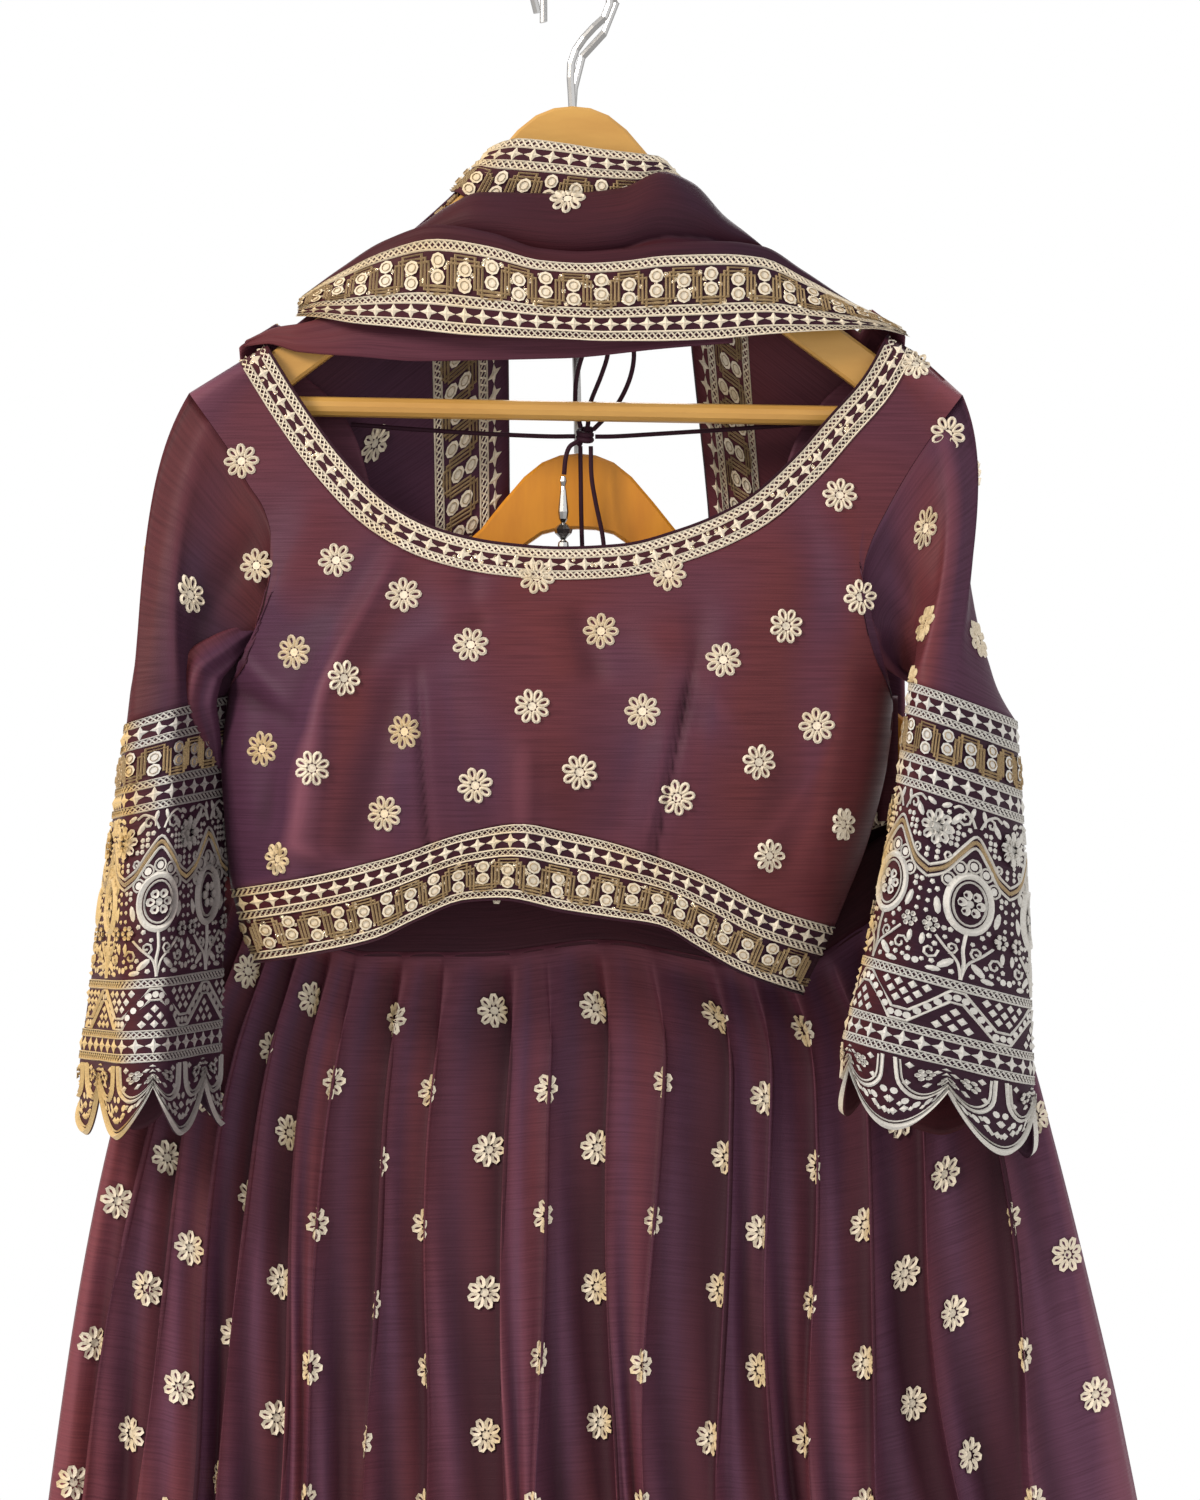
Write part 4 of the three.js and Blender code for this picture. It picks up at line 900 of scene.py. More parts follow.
def sleeve(name, rows, side):
    """A sleeve from its armhole to its cuff, creased, full at its head and hanging underneath."""
    def at(u, v):
        start, end = armhole(name, side, u), ring_point(rows, side, u, 0 * u)
        x, y, z = (lerp(a, b, v) for a, b in zip(start, end))
        x = x + side * FULL * np.sin(np.pi * v) * np.maximum(0, np.cos(2 * np.pi * (u - 0.25)))
        x = x - side * UNDER * np.maximum(0, -np.cos(2 * np.pi * u)) ** 2 * np.sin(np.pi * v) ** 0.8
        top = np.maximum(0, np.cos(2 * np.pi * u))
        x = x + side * HEAD * top * (1 - (1 - v) ** 6) * (1 - v ** 2)
        fold = sleeve_crease(u, v) * np.sin(np.pi * v) ** 0.5
        angle = 2 * np.pi * (u - RIDGE) + 0.9
        return x - side * fold * np.cos(angle), y - fold * np.maximum(0.2, np.sin(angle)), z
    return at


def cuff(rows, side):
    """A cuff: straight rows, then a scalloped hem."""
    def at(u, v):
        x, y, z = ring_point(rows, side, u, 0.985 * np.minimum(v / CUFF_ROWS, 1))
        lobe = 1 - np.abs(2 * ((SCALLOPS * u + 0.5) % 1) - 1) ** 1.9
        fall = np.clip((v - CUFF_ROWS) / (1 - CUFF_ROWS), 0, 1)
        return x, y, z - fall * (SCALLOP_EDGE + SCALLOP_LOBE * lobe)
    return at


round_places = even(81)
sleeves = {}
for name, rows, side in (("left", SLEEVE_LEFT, -1), ("right", SLEEVE_RIGHT, 1)):
    arm = Cloth(sleeve(name, rows, side), round_places, even(44), side, closed=True)
    hand = Cloth(cuff(rows, side), even(121), even(70), side, closed=True)
    sleeves[name] = (arm, hand)

# The fold of sleeve cloth that puckers out under the left arm: its middle line and half its width.
PUCKER = table("x y z wide", [-172, -14, -366, 4], [-190.8, -21, -379.8, 10], [-202.7, -26, -391.7, 12.5],
    [-205, -27, -407, 11.5], [-200, -21, -426, 8], [-195, -10, -445, 3])


def pucker(u, v):
    """The puckered fold: an arch of cloth with smaller gathers on it."""
    line = measured(PUCKER)
    x, y, z, wide = (read(line, "s", k, v) for k in ("x", "y", "z", "wide"))
    before, after = np.maximum(0, v - 0.05), np.minimum(1, v + 0.05)
    dx, dz = (read(line, "s", k, after) - read(line, "s", k, before) for k in "xz")
    run = np.hypot(dx, dz)
    turn = np.pi * (1.1 * u - 0.55)
    stands = wide * (0.75 * np.cos(turn) + 0.16 * np.sin(5 * turn + 5 * v) * np.cos(turn))
    return x - dz / run * wide * np.sin(turn), y - stands, z + dx / run * wide * np.sin(turn)


pucker_cloth = Cloth(pucker, even(33), even(40), -1)


# ---- Skirt ------------------------------------------------------------------------------------
SKIRT_SQUARE = 2.6  # how squarely the skirt's section turns at its sides
SIDE_SEAM = 0.45  # the share of its depth at which its sides lie
PLEAT_STAND = 1.35  # how far its pleats stand, against the table's depth
SWELL = 2.2  # how far the cloth swells between its folds


def skirt_base(side, share, z):
    """The skirt's plain section, before its pleats."""
    left, right, front, back = (read(SKIRT, "z", k, z) for k in ("left", "right", "front", "back"))
    middle = lerp(front, back, SIDE_SEAM)
    bulge = np.sqrt(np.maximum(0, 1 - np.abs(2 * share - 1) ** SKIRT_SQUARE))
    return lerp(left, right, share), lerp(middle, front if side < 0 else back, bulge)


def band_z(side, share):
    return read(BAND_LINE, "x", "front" if side < 0 else "back", lerp(*BAND_ENDS, share))


# One pleat across its width: where each part of it lies, and how far it stands.
PLEAT = table("part lies rise", [0, 0.02, 0], [0.12, 0.03, 0.16], [0.32, 0.24, 0.6], [0.55, 0.58, 0.92],
    [0.72, 0.88, 1], [0.84, 1.05, 0.82], [0.93, 1.07, 0.38], [1, 1.02, 0])
TUCK = 0.012  # share of the skirt's fall that starts behind the waistband


def skirt(side, rows):
    """Pleats from the waistband down: pressed over one another at the top, round and swelling lower down."""
    count = len(rows["top"])
    top, low = (np.concatenate([[0], np.cumsum(rows[k]) / rows[k].sum()]) for k in ("top", "low"))
    low_wide = np.diff(low)

    def edge(k, z, spread):
        """Where a pleat begins, waving a little on its way down."""
        inner = (k > 0) & (k < count)
        room = np.minimum(low_wide[np.clip(k, 0, count - 1)], low_wide[np.clip(k - 1, 0, count - 1)])
        wave = 0.16 * np.sin(z / 75 + 2.3 * k) + 0.12 * np.sin(z / 190 + 4.1 * k)
        return lerp(top[k], low[k] + inner * room * wave, spread)

    def at(u, v):
        k = np.clip((u * count).astype(int), 0, count - 1)
        part = u * count - k
        near_side = ease(np.minimum(u, 1 - u) * count, 0, 0.8)
        z0 = lerp(band_z(side, u) - 0.4, SKIRT_HEM, v)
        knife = 1 - ease(v, 0.12, 0.5)
        pressed_flat = ease(v, 0, 0.06) * near_side * lerp(0.45, 1, knife)
        lies = lerp(part, read(PLEAT, "part", "lies", part), pressed_flat)
        spread = ease(v, 0, 0.3)
        share = np.clip(lerp(edge(k, z0, spread), edge(k + 1, z0, spread), lies), 0, 1)
        z = lerp(band_z(side, share) - 0.4, SKIRT_HEM, v)
        x, y = skirt_base(side, share, z)
        ax, ay = skirt_base(side, np.maximum(0, share - 0.01), z)
        bx, by = skirt_base(side, np.minimum(1, share + 0.01), z)
        run = np.hypot(bx - ax, by - ay)
        soft = np.sin(np.pi * part ** 1.15) ** 0.65
        full = lerp(soft, read(PLEAT, "part", "rise", part), lerp(0.35, 1, knife))
        deep = rows["depth"][k] * (1 + 0.22 * np.sin(z / 140 + 2 * k) * spread)
        rise = full * deep * near_side * read(SKIRT, "z", "pleat", z) * PLEAT_STAND
        swell = np.sin(2 * np.pi * (2.3 * part + z / 260 + 0.37 * k))
        swell = swell + 0.3 * np.sin(5 * np.pi * part + z / 60 + k)
        rise = rise + SWELL * swell * np.sin(np.pi * part) * spread * near_side
        out = ease(v, 0, TUCK)
        rise = lerp(-CLOTH - 0.2, rise, out)
        z = z + 3 * (1 - out)
        return x + side * (by - ay) / run * rise, y + side * (ax - bx) / run * rise, z
    return at


def pleat_places(rows, each):
    return even(len(rows["top"]) * each + 1)


falls = np.concatenate([[0, 0.004, 0.008], np.linspace(TUCK, 0.3, 38)[:-1], np.linspace(0.3, 1, 30)])
skirt_front = Cloth(skirt(-1, FRONT_PLEATS), pleat_places(FRONT_PLEATS, 16), falls, -1)
skirt_back = Cloth(skirt(1, BACK_PLEATS), pleat_places(BACK_PLEATS, 14), falls, 1)


def waistband(u, v):
    """The waistband, round the front and back."""
    front = u <= 0.5
    share = np.where(front, 2 * u, 2 * (1 - u))
    z = np.where(front, band_z(-1, share), band_z(1, share)) + BAND_HEIGHT * v
    fx, fy = skirt_base(-1, share, z)
    _, by = skirt_base(1, share, z)
    return fx, np.where(front, fy, by), z


band_cloth = Cloth(waistband, even(121), even(8), -1, closed=True)

# ---- Dupatta ----------------------------------------------------------------------------------
WRAPS = {
    "neck": (table("x y z", [-46, 1, -103.5], [-40, -7, -101.2], [-31, -11, -98.5], [-7, -13, -101],
                   [15, -13, -104.5], [37, -12, -107], [48, -7, -108.4], [55, 1, -114.8]),
             table("x y z", [-67, 1, -126.2], [-64, -7, -127.2], [-60, -10.5, -130], [-50, -12, -137],
                   [-8, -15, -140], [16, -15, -141], [40, -14, -141], [60, -10.5, -131], [65, -7, -128],
                   [68, 1, -127])),
    "folds": (table("x y z", [-92, 1, -151.1], [-82, -9, -144.8], [-66, -16, -135], [-50, -20, -129],
                    [-7, -22, -130], [26, -21, -127], [50, -17, -117.5], [66, -13, -123], [84, -9, -141],
                    [96, -6, -150], [108, 1, -160.2]),
              table("x y z", [-106, 1, -161.4], [-101, -7, -160.4], [-92, -12, -168], [-74, -22, -168],
                    [-52, -27, -168], [-7, -30, -174], [26, -30, -172], [50, -27, -168], [76, -21, -168],
                    [98, -13, -170], [112, -7, -167.4], [124, 1, -175.4])),
    "swag": (table("x y z", [-148, 1.4, -183], [-127, -10, -169.5], [-102, -22, -155.5], [-74, -31, -148],
                   [-44, -36, -153], [-18, -38, -161.5], [6, -39, -163.5], [28, -38, -162], [50, -36, -158.5],
                   [84, -30, -157], [104, -24, -159], [126, -16, -171], [152, -8, -187], [180, 3, -201]),
             table("x y z", [-152, 1.4, -195], [-139, -14, -197], [-120, -23, -201], [-94, -29, -204],
                   [-56, -35, -208.6], [-30, -37, -210], [-4, -38, -211], [18, -38, -212], [42, -37, -212],
                   [72, -34, -211], [108, -29, -207.5], [140, -22, -205], [166, -15, -203.5],
                   [186, 3, -206])),
    "under": (table("x y z", [-180, 3, -208], [-163, -4, -201.5], [-150, -9, -200], [-135, -10, -196],
                    [-110, -13, -186], [-60, -19, -188], [0, -23, -190], [50, -21, -188], [88, -16, -190]),
              table("x y z", [-182, 4, -212], [-168, -7, -211], [-150, -13, -216], [-115, -17, -219],
                    [-83, -20, -221.5], [-7, -25, -220.5], [50, -23, -215], [88, -18, -211.5])),
}


SWAG_LIP = 0.16  # the share of the swag's height that its rolled upper edge takes


def plain_roll(u, v):
    return 1.5 * np.sin(np.pi * v)


def two_rolls(u, v):
    """Two soft rolls of cloth with a crease that sags between them."""
    parting = 0.5 + 0.28 * np.sin(np.pi * u)
    high = np.sin(np.pi * np.clip(v / parting, 0, 1)) ** 0.7
    low = np.sin(np.pi * np.clip((v - parting) / (1 - parting), 0, 1)) ** 0.6
    rays = np.sin(9 * u + 7 * v) * np.sin(np.pi * v) * ease(u, 0.45, 0.8)
    return 7 * high + 5.5 * low + 1.2 * rays


def swag_roll(u, v):
    lip = 1.6 * (1 - ease(v, 0, SWAG_LIP)) * np.sin(np.pi * np.clip(v / SWAG_LIP, 0, 1))
    return 3 * np.sin(np.pi * v) + lip + 0.8 * np.sin(14 * u + 2 * v) * np.sin(np.pi * v)


def under_roll(u, v):
    return 1.2 * np.sin(np.pi * v) + 1.0 * np.sin(3 * np.pi * v + 4 * u) * np.sin(np.pi * v)


def wrap(name, roll):
    """A turn of the scarf between two lines, rolled as its own roll says."""
    top, low = (measured(rows) for rows in WRAPS[name])

    def at(u, v):
        x, y, z = (lerp(read(top, "s", k, u), read(low, "s", k, u), v) for k in "xyz")
        return x, y - roll(u, v), z
    return at


ROLLS = (("neck", plain_roll, 50, 14), ("folds", two_rolls, 90, 40), ("swag", swag_roll, 120, 26),
         ("under", under_roll, 90, 14))
wraps = {name: Cloth(wrap(name, roll), even(columns), even(bands), -1)
         for name, roll, columns, bands in ROLLS}

TAIL_LEFT = table("fall inner outer y", [0, -48, -184, 4], [12, -44, -184, 16], [60, -37, -184, 24],
    [165, -36, -182, 48], [330, -35, -180, 66], [520, -36, -184, 92], [700, -40, -192, 112],
    [900, -44, -200, 136], [1080, -46, -206, 152])
TAIL_RIGHT = table("fall inner outer y", [0, 60, 184, 4], [12, 61, 184, 16], [60, 65, 184, 24],
    [165, 78, 186, 48], [330, 86, 190, 66], [520, 90, 197, 92], [700, 93, 206, 112], [900, 96, 215, 136],
    [1080, 99, 222, 152])
TAIL_LAYERS, TAIL_GAP, FALL = 3, 5, 1080
TAIL_ON_WOOD, TAIL_ON_BLOUSE = 5.6, 8.5  # how far its fold lies over the hanger's wood and the shoulder
SHOULDER_FROM = 160  # how far out the shoulder carries it
HANGS_LEVEL = 100  # how far under the hanger's top a level fold would lie
RIPPLE, RIPPLE_LONG = 2.2, 21
FAR_BELOW = -999
TURN = 0.04  # share of a layer that its rounded edge takes


def tail(rows):
    """A hanging end of the scarf, folded lengthwise into layers."""
    def at(u, v):
        edge = np.clip(np.rint(u), 1, TAIL_LAYERS - 1)
        w = np.clip((u - edge) / TURN, -1, 1)
        layer = edge - 0.5 + 0.5 * np.sin(w * np.pi / 2)
        near = TURN * (1 - np.cos(w * np.pi / 2)) + np.maximum(np.abs(u - edge) - TURN, 0)
        t = np.where(edge % 2 == 1, 1 - near, near)
        fall = FALL * v
        x = lerp(read(rows, "fall", "inner", fall), read(rows, "fall", "outer", fall), t)
        ripple = RIPPLE * np.sin(x / RIPPLE_LONG) * ease(fall, 60, 260)
        on_wood = -HOOK_DROP - read(WOOD_OUTLINE, "x", "top", np.abs(x)) + TAIL_ON_WOOD
        on_blouse = np.where(np.abs(x) > SHOULDER_FROM, shoulder_line(x) + TAIL_ON_BLOUSE, FAR_BELOW)
        z = lerp(np.maximum(on_wood, on_blouse), -HOOK_DROP - HANGS_LEVEL, ease(fall, 0, 400)) - fall
        return x, read(rows, "fall", "y", fall) + TAIL_GAP * (layer - 0.5) + ripple, z
    return at


turned = [k + TURN * np.linspace(-1, 1, 9) for k in range(1, TAIL_LAYERS)]
layer_places = np.unique(np.concatenate([np.linspace(0, TAIL_LAYERS, 61), *turned]))
tail_falls = np.concatenate([np.array([0, 4, 8, 14, 22, 32, 44]), np.linspace(60, FALL, 60)]) / FALL
tails = {"left": Cloth(tail(TAIL_LEFT), layer_places, tail_falls, 1),
         "right": Cloth(tail(TAIL_RIGHT), layer_places, tail_falls, -1)}


# ---- Tapes that hold the skirt on its hanger --------------------------------------------------
TAPE_WIDE = 10.4
TAPE_FOLD = table("y z", [-1, -12], [-1, -5], [-0.86, -1.6], [-0.55, -0.3], [0, 0], [0.55, -0.3],
    [0.86, -1.6], [1, -5], [1, -12])


def tape(node):
    """A tape doubled over the hanger, inside the room its solid takes."""
    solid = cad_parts[node]
    corners = np.array([solid.matrix_world @ Vector(corner) for corner in solid.bound_box]) / MM
    low, high = corners.min(0), corners.max(0)
    middle = (low[0] + high[0]) / 2
    deep = TAPE_FOLD["y"] * (high[1] - low[1]) / 2 + (high[1] + low[1]) / 2
    line = np.stack([deep, TAPE_FOLD["z"] + high[2]], 1)
    line = np.concatenate([[(line[0, 0], low[2])], line, [(line[-1, 0], low[2])]])
    length = np.concatenate([[0], np.cumsum(np.linalg.norm(np.diff(line, axis=0), axis=1))])

    def at(u, v):
        y, z = (np.interp(v * length[-1], length, line[:, k]) for k in (0, 1))
        return middle + TAPE_WIDE * (u - 0.5), y, z
    return Cloth(at, even(4), even(120), -1)


tapes = {side_name: tape(f"hanging_tape_{side_name}") for side_name in ("left", "right")}

# ---- Motifs -----------------------------------------------------------------------------------
lace = Motif(14, 5)
for edge in (-2.1, 2.1):
    lace.line([(-7, edge), (0, edge), (7, edge)], 1.1, 0.9)
for k in range(4):
    x = -7 + 3.5 * k
    lace.line([(x, -1.7), (x + 3.5, 1.7)], 0.8, 0.7, across=1)
    lace.line([(x, 1.7), (x + 3.5, -1.7)], 0.8, 0.6, across=1)

piping = Motif(12, 2).line([(-6, 0), (0, 0), (6, 0)], 2.4, 1.5, finish=CLOTH_CORD)
star = Motif(10, 9).peak(0, 0, 4.9, 1.6, sides=8, inner=0.42)
flake = Motif(1, 1).peak(0, 0, 1.5, 0.5, sides=6, finish=SEQUIN)


def curl(a, b, radius, turn, way=1):
    """A thread spiral's points."""
    t = np.linspace(0.15, 1, 9)
    angle = turn + way * 8.5 * (1 - t)
    return np.stack([a + radius * t * np.cos(angle), b + radius * t * np.sin(angle)], 1)


def ring(a, b, wide, tall, count=20):
    """An oval's points."""
    t = np.linspace(0, 2 * np.pi, count, endpoint=False)
    return np.stack([a + wide * np.cos(t), b + tall * np.sin(t)], 1)


def curve(*points):
    """A smooth line through a few points."""
    points = np.array(points, float)
    k = np.arange(len(points))
    fine = np.linspace(0, len(points) - 1, 4 * (len(points) - 1) + 1)
    run = {"k": k, "x": points[:, 0], "y": points[:, 1]}
    return np.stack([read(run, "k", "x", fine), read(run, "k", "y", fine)], 1)


PAIR = 14.5  # from one pair of coins to the next


def meander(tall):
    """Bead lines that pass under one pair of coins and over the next, three abreast."""
    key = Motif(2 * PAIR, tall)
    reach = tall / 2 - 1.6
    for offset in (-2.0, 0, 2.0):
        high, low, bend = reach - offset, -reach - offset + 1.9, PAIR / 2 - offset
        key.line([(-PAIR, high), (-bend, high), (-bend, low), (bend, low), (bend, high), (PAIR, high)],
                 1.75, 1.1, finish=BEAD)
    for x, b in ((0, 1.6), (-PAIR, -1.6)):
        for middle in (b - 4, b + 4):
            key.coin(x, middle, 3.9, 1.5)
            key.line(ring(x, middle, 2.3, 2.3, 9), 0.8, 1.7, closed=True, finish=BEAD)
    return key


key_motif = meander(21)

CANOPY = np.array([(-23, -10), (-15, -14), (-7, -24), (0, -31), (7, -24), (15, -14), (23, -10)], float)
floral = Motif(46, 91, SCALLOPS)
for shift, width, finish in ((0, 1.5, THREAD), (3.0, 2.2, BEAD), (6.0, 1.5, THREAD)):
    floral.line(curve(*(CANOPY + (0, shift))), width, 1.2, finish=finish)
floral.flower(-23, -30, 9.5, petals=8, points=8, width=1.8, height=1.6, heart=0.3)
floral.flower(-23, -30, 5.2, petals=6, points=6, width=1.2, height=2.2, heart=0.4)
for side in (-1, 1):
    floral.line(curl(side * 7.5, -39, 4.4, 0.5, side), 1.5, 1.2)
    floral.line(curl(side * 14, -17.5, 2.6, 2.0, -side), 1.3, 1.0)
    floral.line(curve((side * 1.5, -35), (side * 5, -41), (side * 11, -44), (side * 15, -42)), 1.4, 1.2)
    floral.peak(side * 12, -37, 4.4, 1.8, sides=8, turn=side * 0.9, stretch=(1, 0.42))
    floral.peak(side * 3.4, -42.5, 3.0, 1.6, sides=8, turn=side * 1.3, stretch=(1, 0.45))
    floral.peak(side * 18.5, -42.5, 3.2, 1.6, sides=8, turn=side * 0.4, stretch=(1, 0.45))
floral.line(ring(0, 4, 11.5, 14.5, 26), 3.6, 2.2, closed=True)
floral.line(ring(0, 4, 8.4, 11.2, 22), 1.1, 1.4, closed=True)
floral.flower(0, 4, 7.2, petals=6, points=8, width=1.5, height=1.6, heart=0.3)
for k, angle in enumerate(np.radians([-150, -120, -90, -60, -30])):
    a, b = 16.5 * math.cos(angle) * 0.86, 4 + 19.5 * math.sin(angle)
    floral.coin(a, b, 2.1, 1.6)
    floral.line(ring(a, b, 3.4, 3.4, 10), 1.1, 1.2, closed=True)
for side in (-1, 1):
    floral.peak(side * 15.5, 9, 4.6, 1.8, sides=8, turn=1.57 + side * 0.25, stretch=(1, 0.4))
    floral.flower(side * 17.5, 19.5, 4.4, petals=6, points=6, width=1.2, height=1.5, heart=0.34)
    floral.line(curve((0, 44), (side * 2, 36), (side * 9, 29), (side * 14, 24)), 1.4, 1.2)
    floral.line(curl(side * 6, 28.5, 3.4, 1.2, side), 1.3, 1.2)
    floral.line(curl(side * 15.5, 33, 4.2, 3.4, -side), 1.4, 1.2)
    floral.peak(side * 7.5, 37.5, 4.6, 1.8, sides=8, turn=side * 0.7, stretch=(1, 0.42))
    floral.peak(side * 19.8, 28, 3.2, 1.6, sides=8, turn=1.57, stretch=(1, 0.45))
    floral.peak(side * 12.5, 42, 3.6, 1.6, sides=8, turn=side * 0.1, stretch=(1, 0.42))
    floral.coin(side * 21, 40, 1.8, 1.3)
    for a, b in ((20.5, 3), (20.5, 8), (20.5, 13), (18.2, 38.5), (9.5, 24), (3.6, 24.2)):
        floral.peak(side * a, b, 1.3, 1.2, sides=5)
floral.line(curve((0, 19), (0.6, 28), (-0.6, 36), (0, 44.5)), 1.8, 1.4)
floral.seeds(44, 88, 3.1, 2.0)

ZIGZAG = np.array([(-23, 8), (-19, 8), (-3, -8), (3, -8), (19, 8), (23, 8)], float)
zigzag = Motif(46, 24, SCALLOPS)
for shift in (-3.1, 3.1):
    zigzag.line(ZIGZAG + (0, shift), 1.5, 1.4)
for t in even(13)[:-1]:
    a = lerp(-23, 23, t)
    zigzag.coin(a, np.interp(abs(a), [0, 3, 19, 23], [-8, -8, 8, 8]), 1.9, 1.2)
for a, b in ((0, 0), (-3.4, 4.2), (3.4, 4.2), (-6.6, 8.6), (0, 8.6), (6.6, 8.6), (-19.6, -9), (-16.6, -4.6),
             (-23, -4.6), (19.6, -9), (16.6, -4.6), (-20, -0.4), (20, -0.4), (-13.2, -9), (13.2, -9)):
    zigzag.peak(a, b, 2.3, 1.5, sides=4)

scallop = Motif(50, 42.5, SCALLOPS)
edge = np.linspace(-25, 25, 25)
shield = curve((-22, -20), (-21, -8), (-15, 2), (-7, 8), (0, 10), (7, 8), (15, 2), (21, -8), (22, -20))
scallop.line(np.stack([edge, 0 * edge + 19.4], 1), 3.6, 2.4)
scallop.line(np.stack([edge, 0 * edge + 16.4], 1), 0.9, 1.2)
scallop.line(shield, 1.9, 1.8)
scallop.line(shield * (0.9, 0.9) + (0, -1.4), 1.0, 1.2)
for a in np.arange(-22.5, 25, 5):
    b = np.interp(abs(a), [0, 7, 15, 21, 25], [13.2, 12, 8, 1, -4])
    scallop.coin(a, b, 1.9, 1.4)
    scallop.peak(a + 2.5, b + 1.2 if abs(a) < 20 else 11, 1.5, 1.3, sides=4)
for a, b in ((-9.5, -11), (9.5, -11), (0, -0.5)):
    scallop.flower(a, b, 4.6, petals=6, points=7, width=1.3, height=1.5, heart=0.34)
for a, b in ((0, -17), (-3.6, -13), (3.6, -13), (0, -9), (-15.5, -17), (15.5, -17), (-8, -2.4), (8, -2.4),
             (-17, -6), (17, -6), (-24.5, 4), (24.5, 4), (-23, 10.5), (23, 10.5), (-18, 9.5), (18, 9.5)):
    scallop.peak(a, b, 2.1, 1.5, sides=4)

CUFF_BORDER = [(lace, 0, 4.6), (star, 4.6, 12.5), (lace, 12.5, 17), (key_motif, 17.5, 36.5), (lace, 37, 41.5),
               (star, 41.5, 50), (lace, 50, 54.5), (floral, 55, 146), (lace, 146, 151), (zigzag, 151, 175),
               (lace, 175, 179.5), (star, 179.5, 188), (lace, 188, 193), (scallop, 193.5, 236)]

buti = Motif().flower(0, 0, 10)
fine_buti = Motif().flower(0, 0, 10, points=12, across=2, width=1.8, height=1.5)

BORDER = [(lace, 0, 5), (star, 5, 14), (lace, 14, 19), (key_motif, 19, 39), (lace, 39, 44),
          (piping, 44.4, 46.4)]
BORDER_TALL = 46
NECK_ROWS = [(piping, -0.6, 1.6), (lace, 1.6, 6.4), (star, 6.4, 13.2), (lace, 13.2, 18)]


def sprinkle(cloth, count, size, top, low, v_range=(0, 1)):
    """Loose sequins over a band of a border."""
    places = spots(rng.uniform(0, size[0], count), rng.uniform(top, low, count), rng.uniform(0, 6, count),
                   rng.uniform(0.6, 1.1, count))
    return [(flake, places, cloth.band((0, 1), v_range, size))]


# ---- Cloth pieces -----------------------------------------------------------------------------
PIECES = [(choli_front, "blouse_front", "choli_front"), (choli_back, "blouse_back", "choli_back"),
          (neck_cloth, "neck_ground", "neck_border"), (hem_front, "hem_ground_front", "hem_border_front"),
          (hem_back, "hem_ground_back", "hem_border_back"), (skirt_front, "skirt_front_cloth", "skirt_front"),
          (skirt_back, "skirt_back_cloth", "skirt_back"), (band_cloth, "waistband_cloth", "waistband")]
for side_name, (arm, hand) in sleeves.items():
    PIECES += [(arm, f"sleeve_cloth_{side_name}", f"sleeve_{side_name}"),
               (hand, f"cuff_ground_{side_name}", f"cuff_{side_name}")]
PIECES += [(cloth, f"dupatta_{name}_cloth", f"dupatta_{name}") for name, cloth in wraps.items()]
PIECES += [(cloth, f"dupatta_tail_cloth_{name}", f"dupatta_tail_{name}") for name, cloth in tails.items()]
PIECES += [(cloth, f"tape_{name}", f"hanging_tape_{name}") for name, cloth in tapes.items()]
# The pieces that take the darker and lighter copies of the silk: painted shade and painted light
LIT_AND_SHADED_COPIES = dict.fromkeys(("waistband_cloth", "cuff_ground_left", "cuff_ground_right", "neck_ground",
                        "hem_ground_front", "dupatta_folds_cloth", "dupatta_swag_cloth",
                        "dupatta_neck_cloth"), SILK_IN_PAINTED_SHADE)
LIT_AND_SHADED_COPIES.update({"skirt_front_cloth": SKIRT_SILK_PAINTED_LIGHT, "skirt_back_cloth": SKIRT_SILK_PAINTED_LIGHT,
               "sleeve_cloth_left": LEFT_SLEEVE_PAINTED_SHADE})
PIECES.append((pucker_cloth, "sleeve_pucker_left", None))
for cloth, name, node in PIECES:
    cloth.piece(name, LIT_AND_SHADED_COPIES.get(name, SILK), upright=name.startswith("blouse"))
    if node:
        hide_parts(node)


# ---- Embroidery -------------------------------------------------------------------------------
def pressed(side, places):
    """Lays copies of a motif on the blouse's front or back, true to size in the cloth's own plane there."""
    x0, z0 = np.asarray(places, float).T

    def put(co):
        x, z = x0[:, None], z0[:, None]
        y = body_depth(side, x, z)
        dx = (body_depth(side, x + 1, z) - body_depth(side, x - 1, z)) / 2
        dz = (body_depth(side, x, z + 1) - body_depth(side, x, z - 1)) / 2
        px = x + co[..., 0] / np.sqrt(1 + dx * dx)
        pz = z - co[..., 1] / np.sqrt(1 + dz * dz)
        normal = np.stack(np.broadcast_arrays(-dx, np.ones_like(dx), -dz), -1) * side
        normal = normal / np.linalg.norm(normal, axis=-1, keepdims=True)
        point = np.stack([px, body_depth(side, px, pz), pz], -1) + normal * co[..., 2:3]
        return np.concatenate([point, np.broadcast_to(normal[..., :1], point[..., :1].shape)], -1)
    return put


def copies(places, turn=0.0):
    """One copy of a motif for each place."""
    return spots(np.zeros(len(places)), 0, turn)


def seen_at(*pairs):
    """Places seen from the front, given on the view's own grid."""
    grid = (np.array(pairs, float).reshape(-1, 2) - VIEW_HANGER) * VIEW_STEP
    return grid[:, 0], -HOOK_DROP - grid[:, 1]


FRONT_BUTIS = seen_at(337, 561, 257, 566, 405, 596, 296, 653, 347, 679, 472, 646, 601, 632, 537, 578,
    668, 575, 785, 627, 722, 661, 840, 495, 918, 362, 950, 432, 859, 598, 407, 732, 533, 707, 642, 712,
    264, 749, 316, 768, 387, 813, 280, 858, 477, 785, 580, 772, 757, 762, 815, 726, 842, 824, 768, 855,
    676, 797, 240, 460)
front_places = np.stack(FRONT_BUTIS, 1)
front_copies = copies(front_places, rng.uniform(0, 6, len(front_places)))
lay("blouse_front_butis", [(fine_buti, front_copies, pressed(-1, front_places))], WORK, "blouse_front")

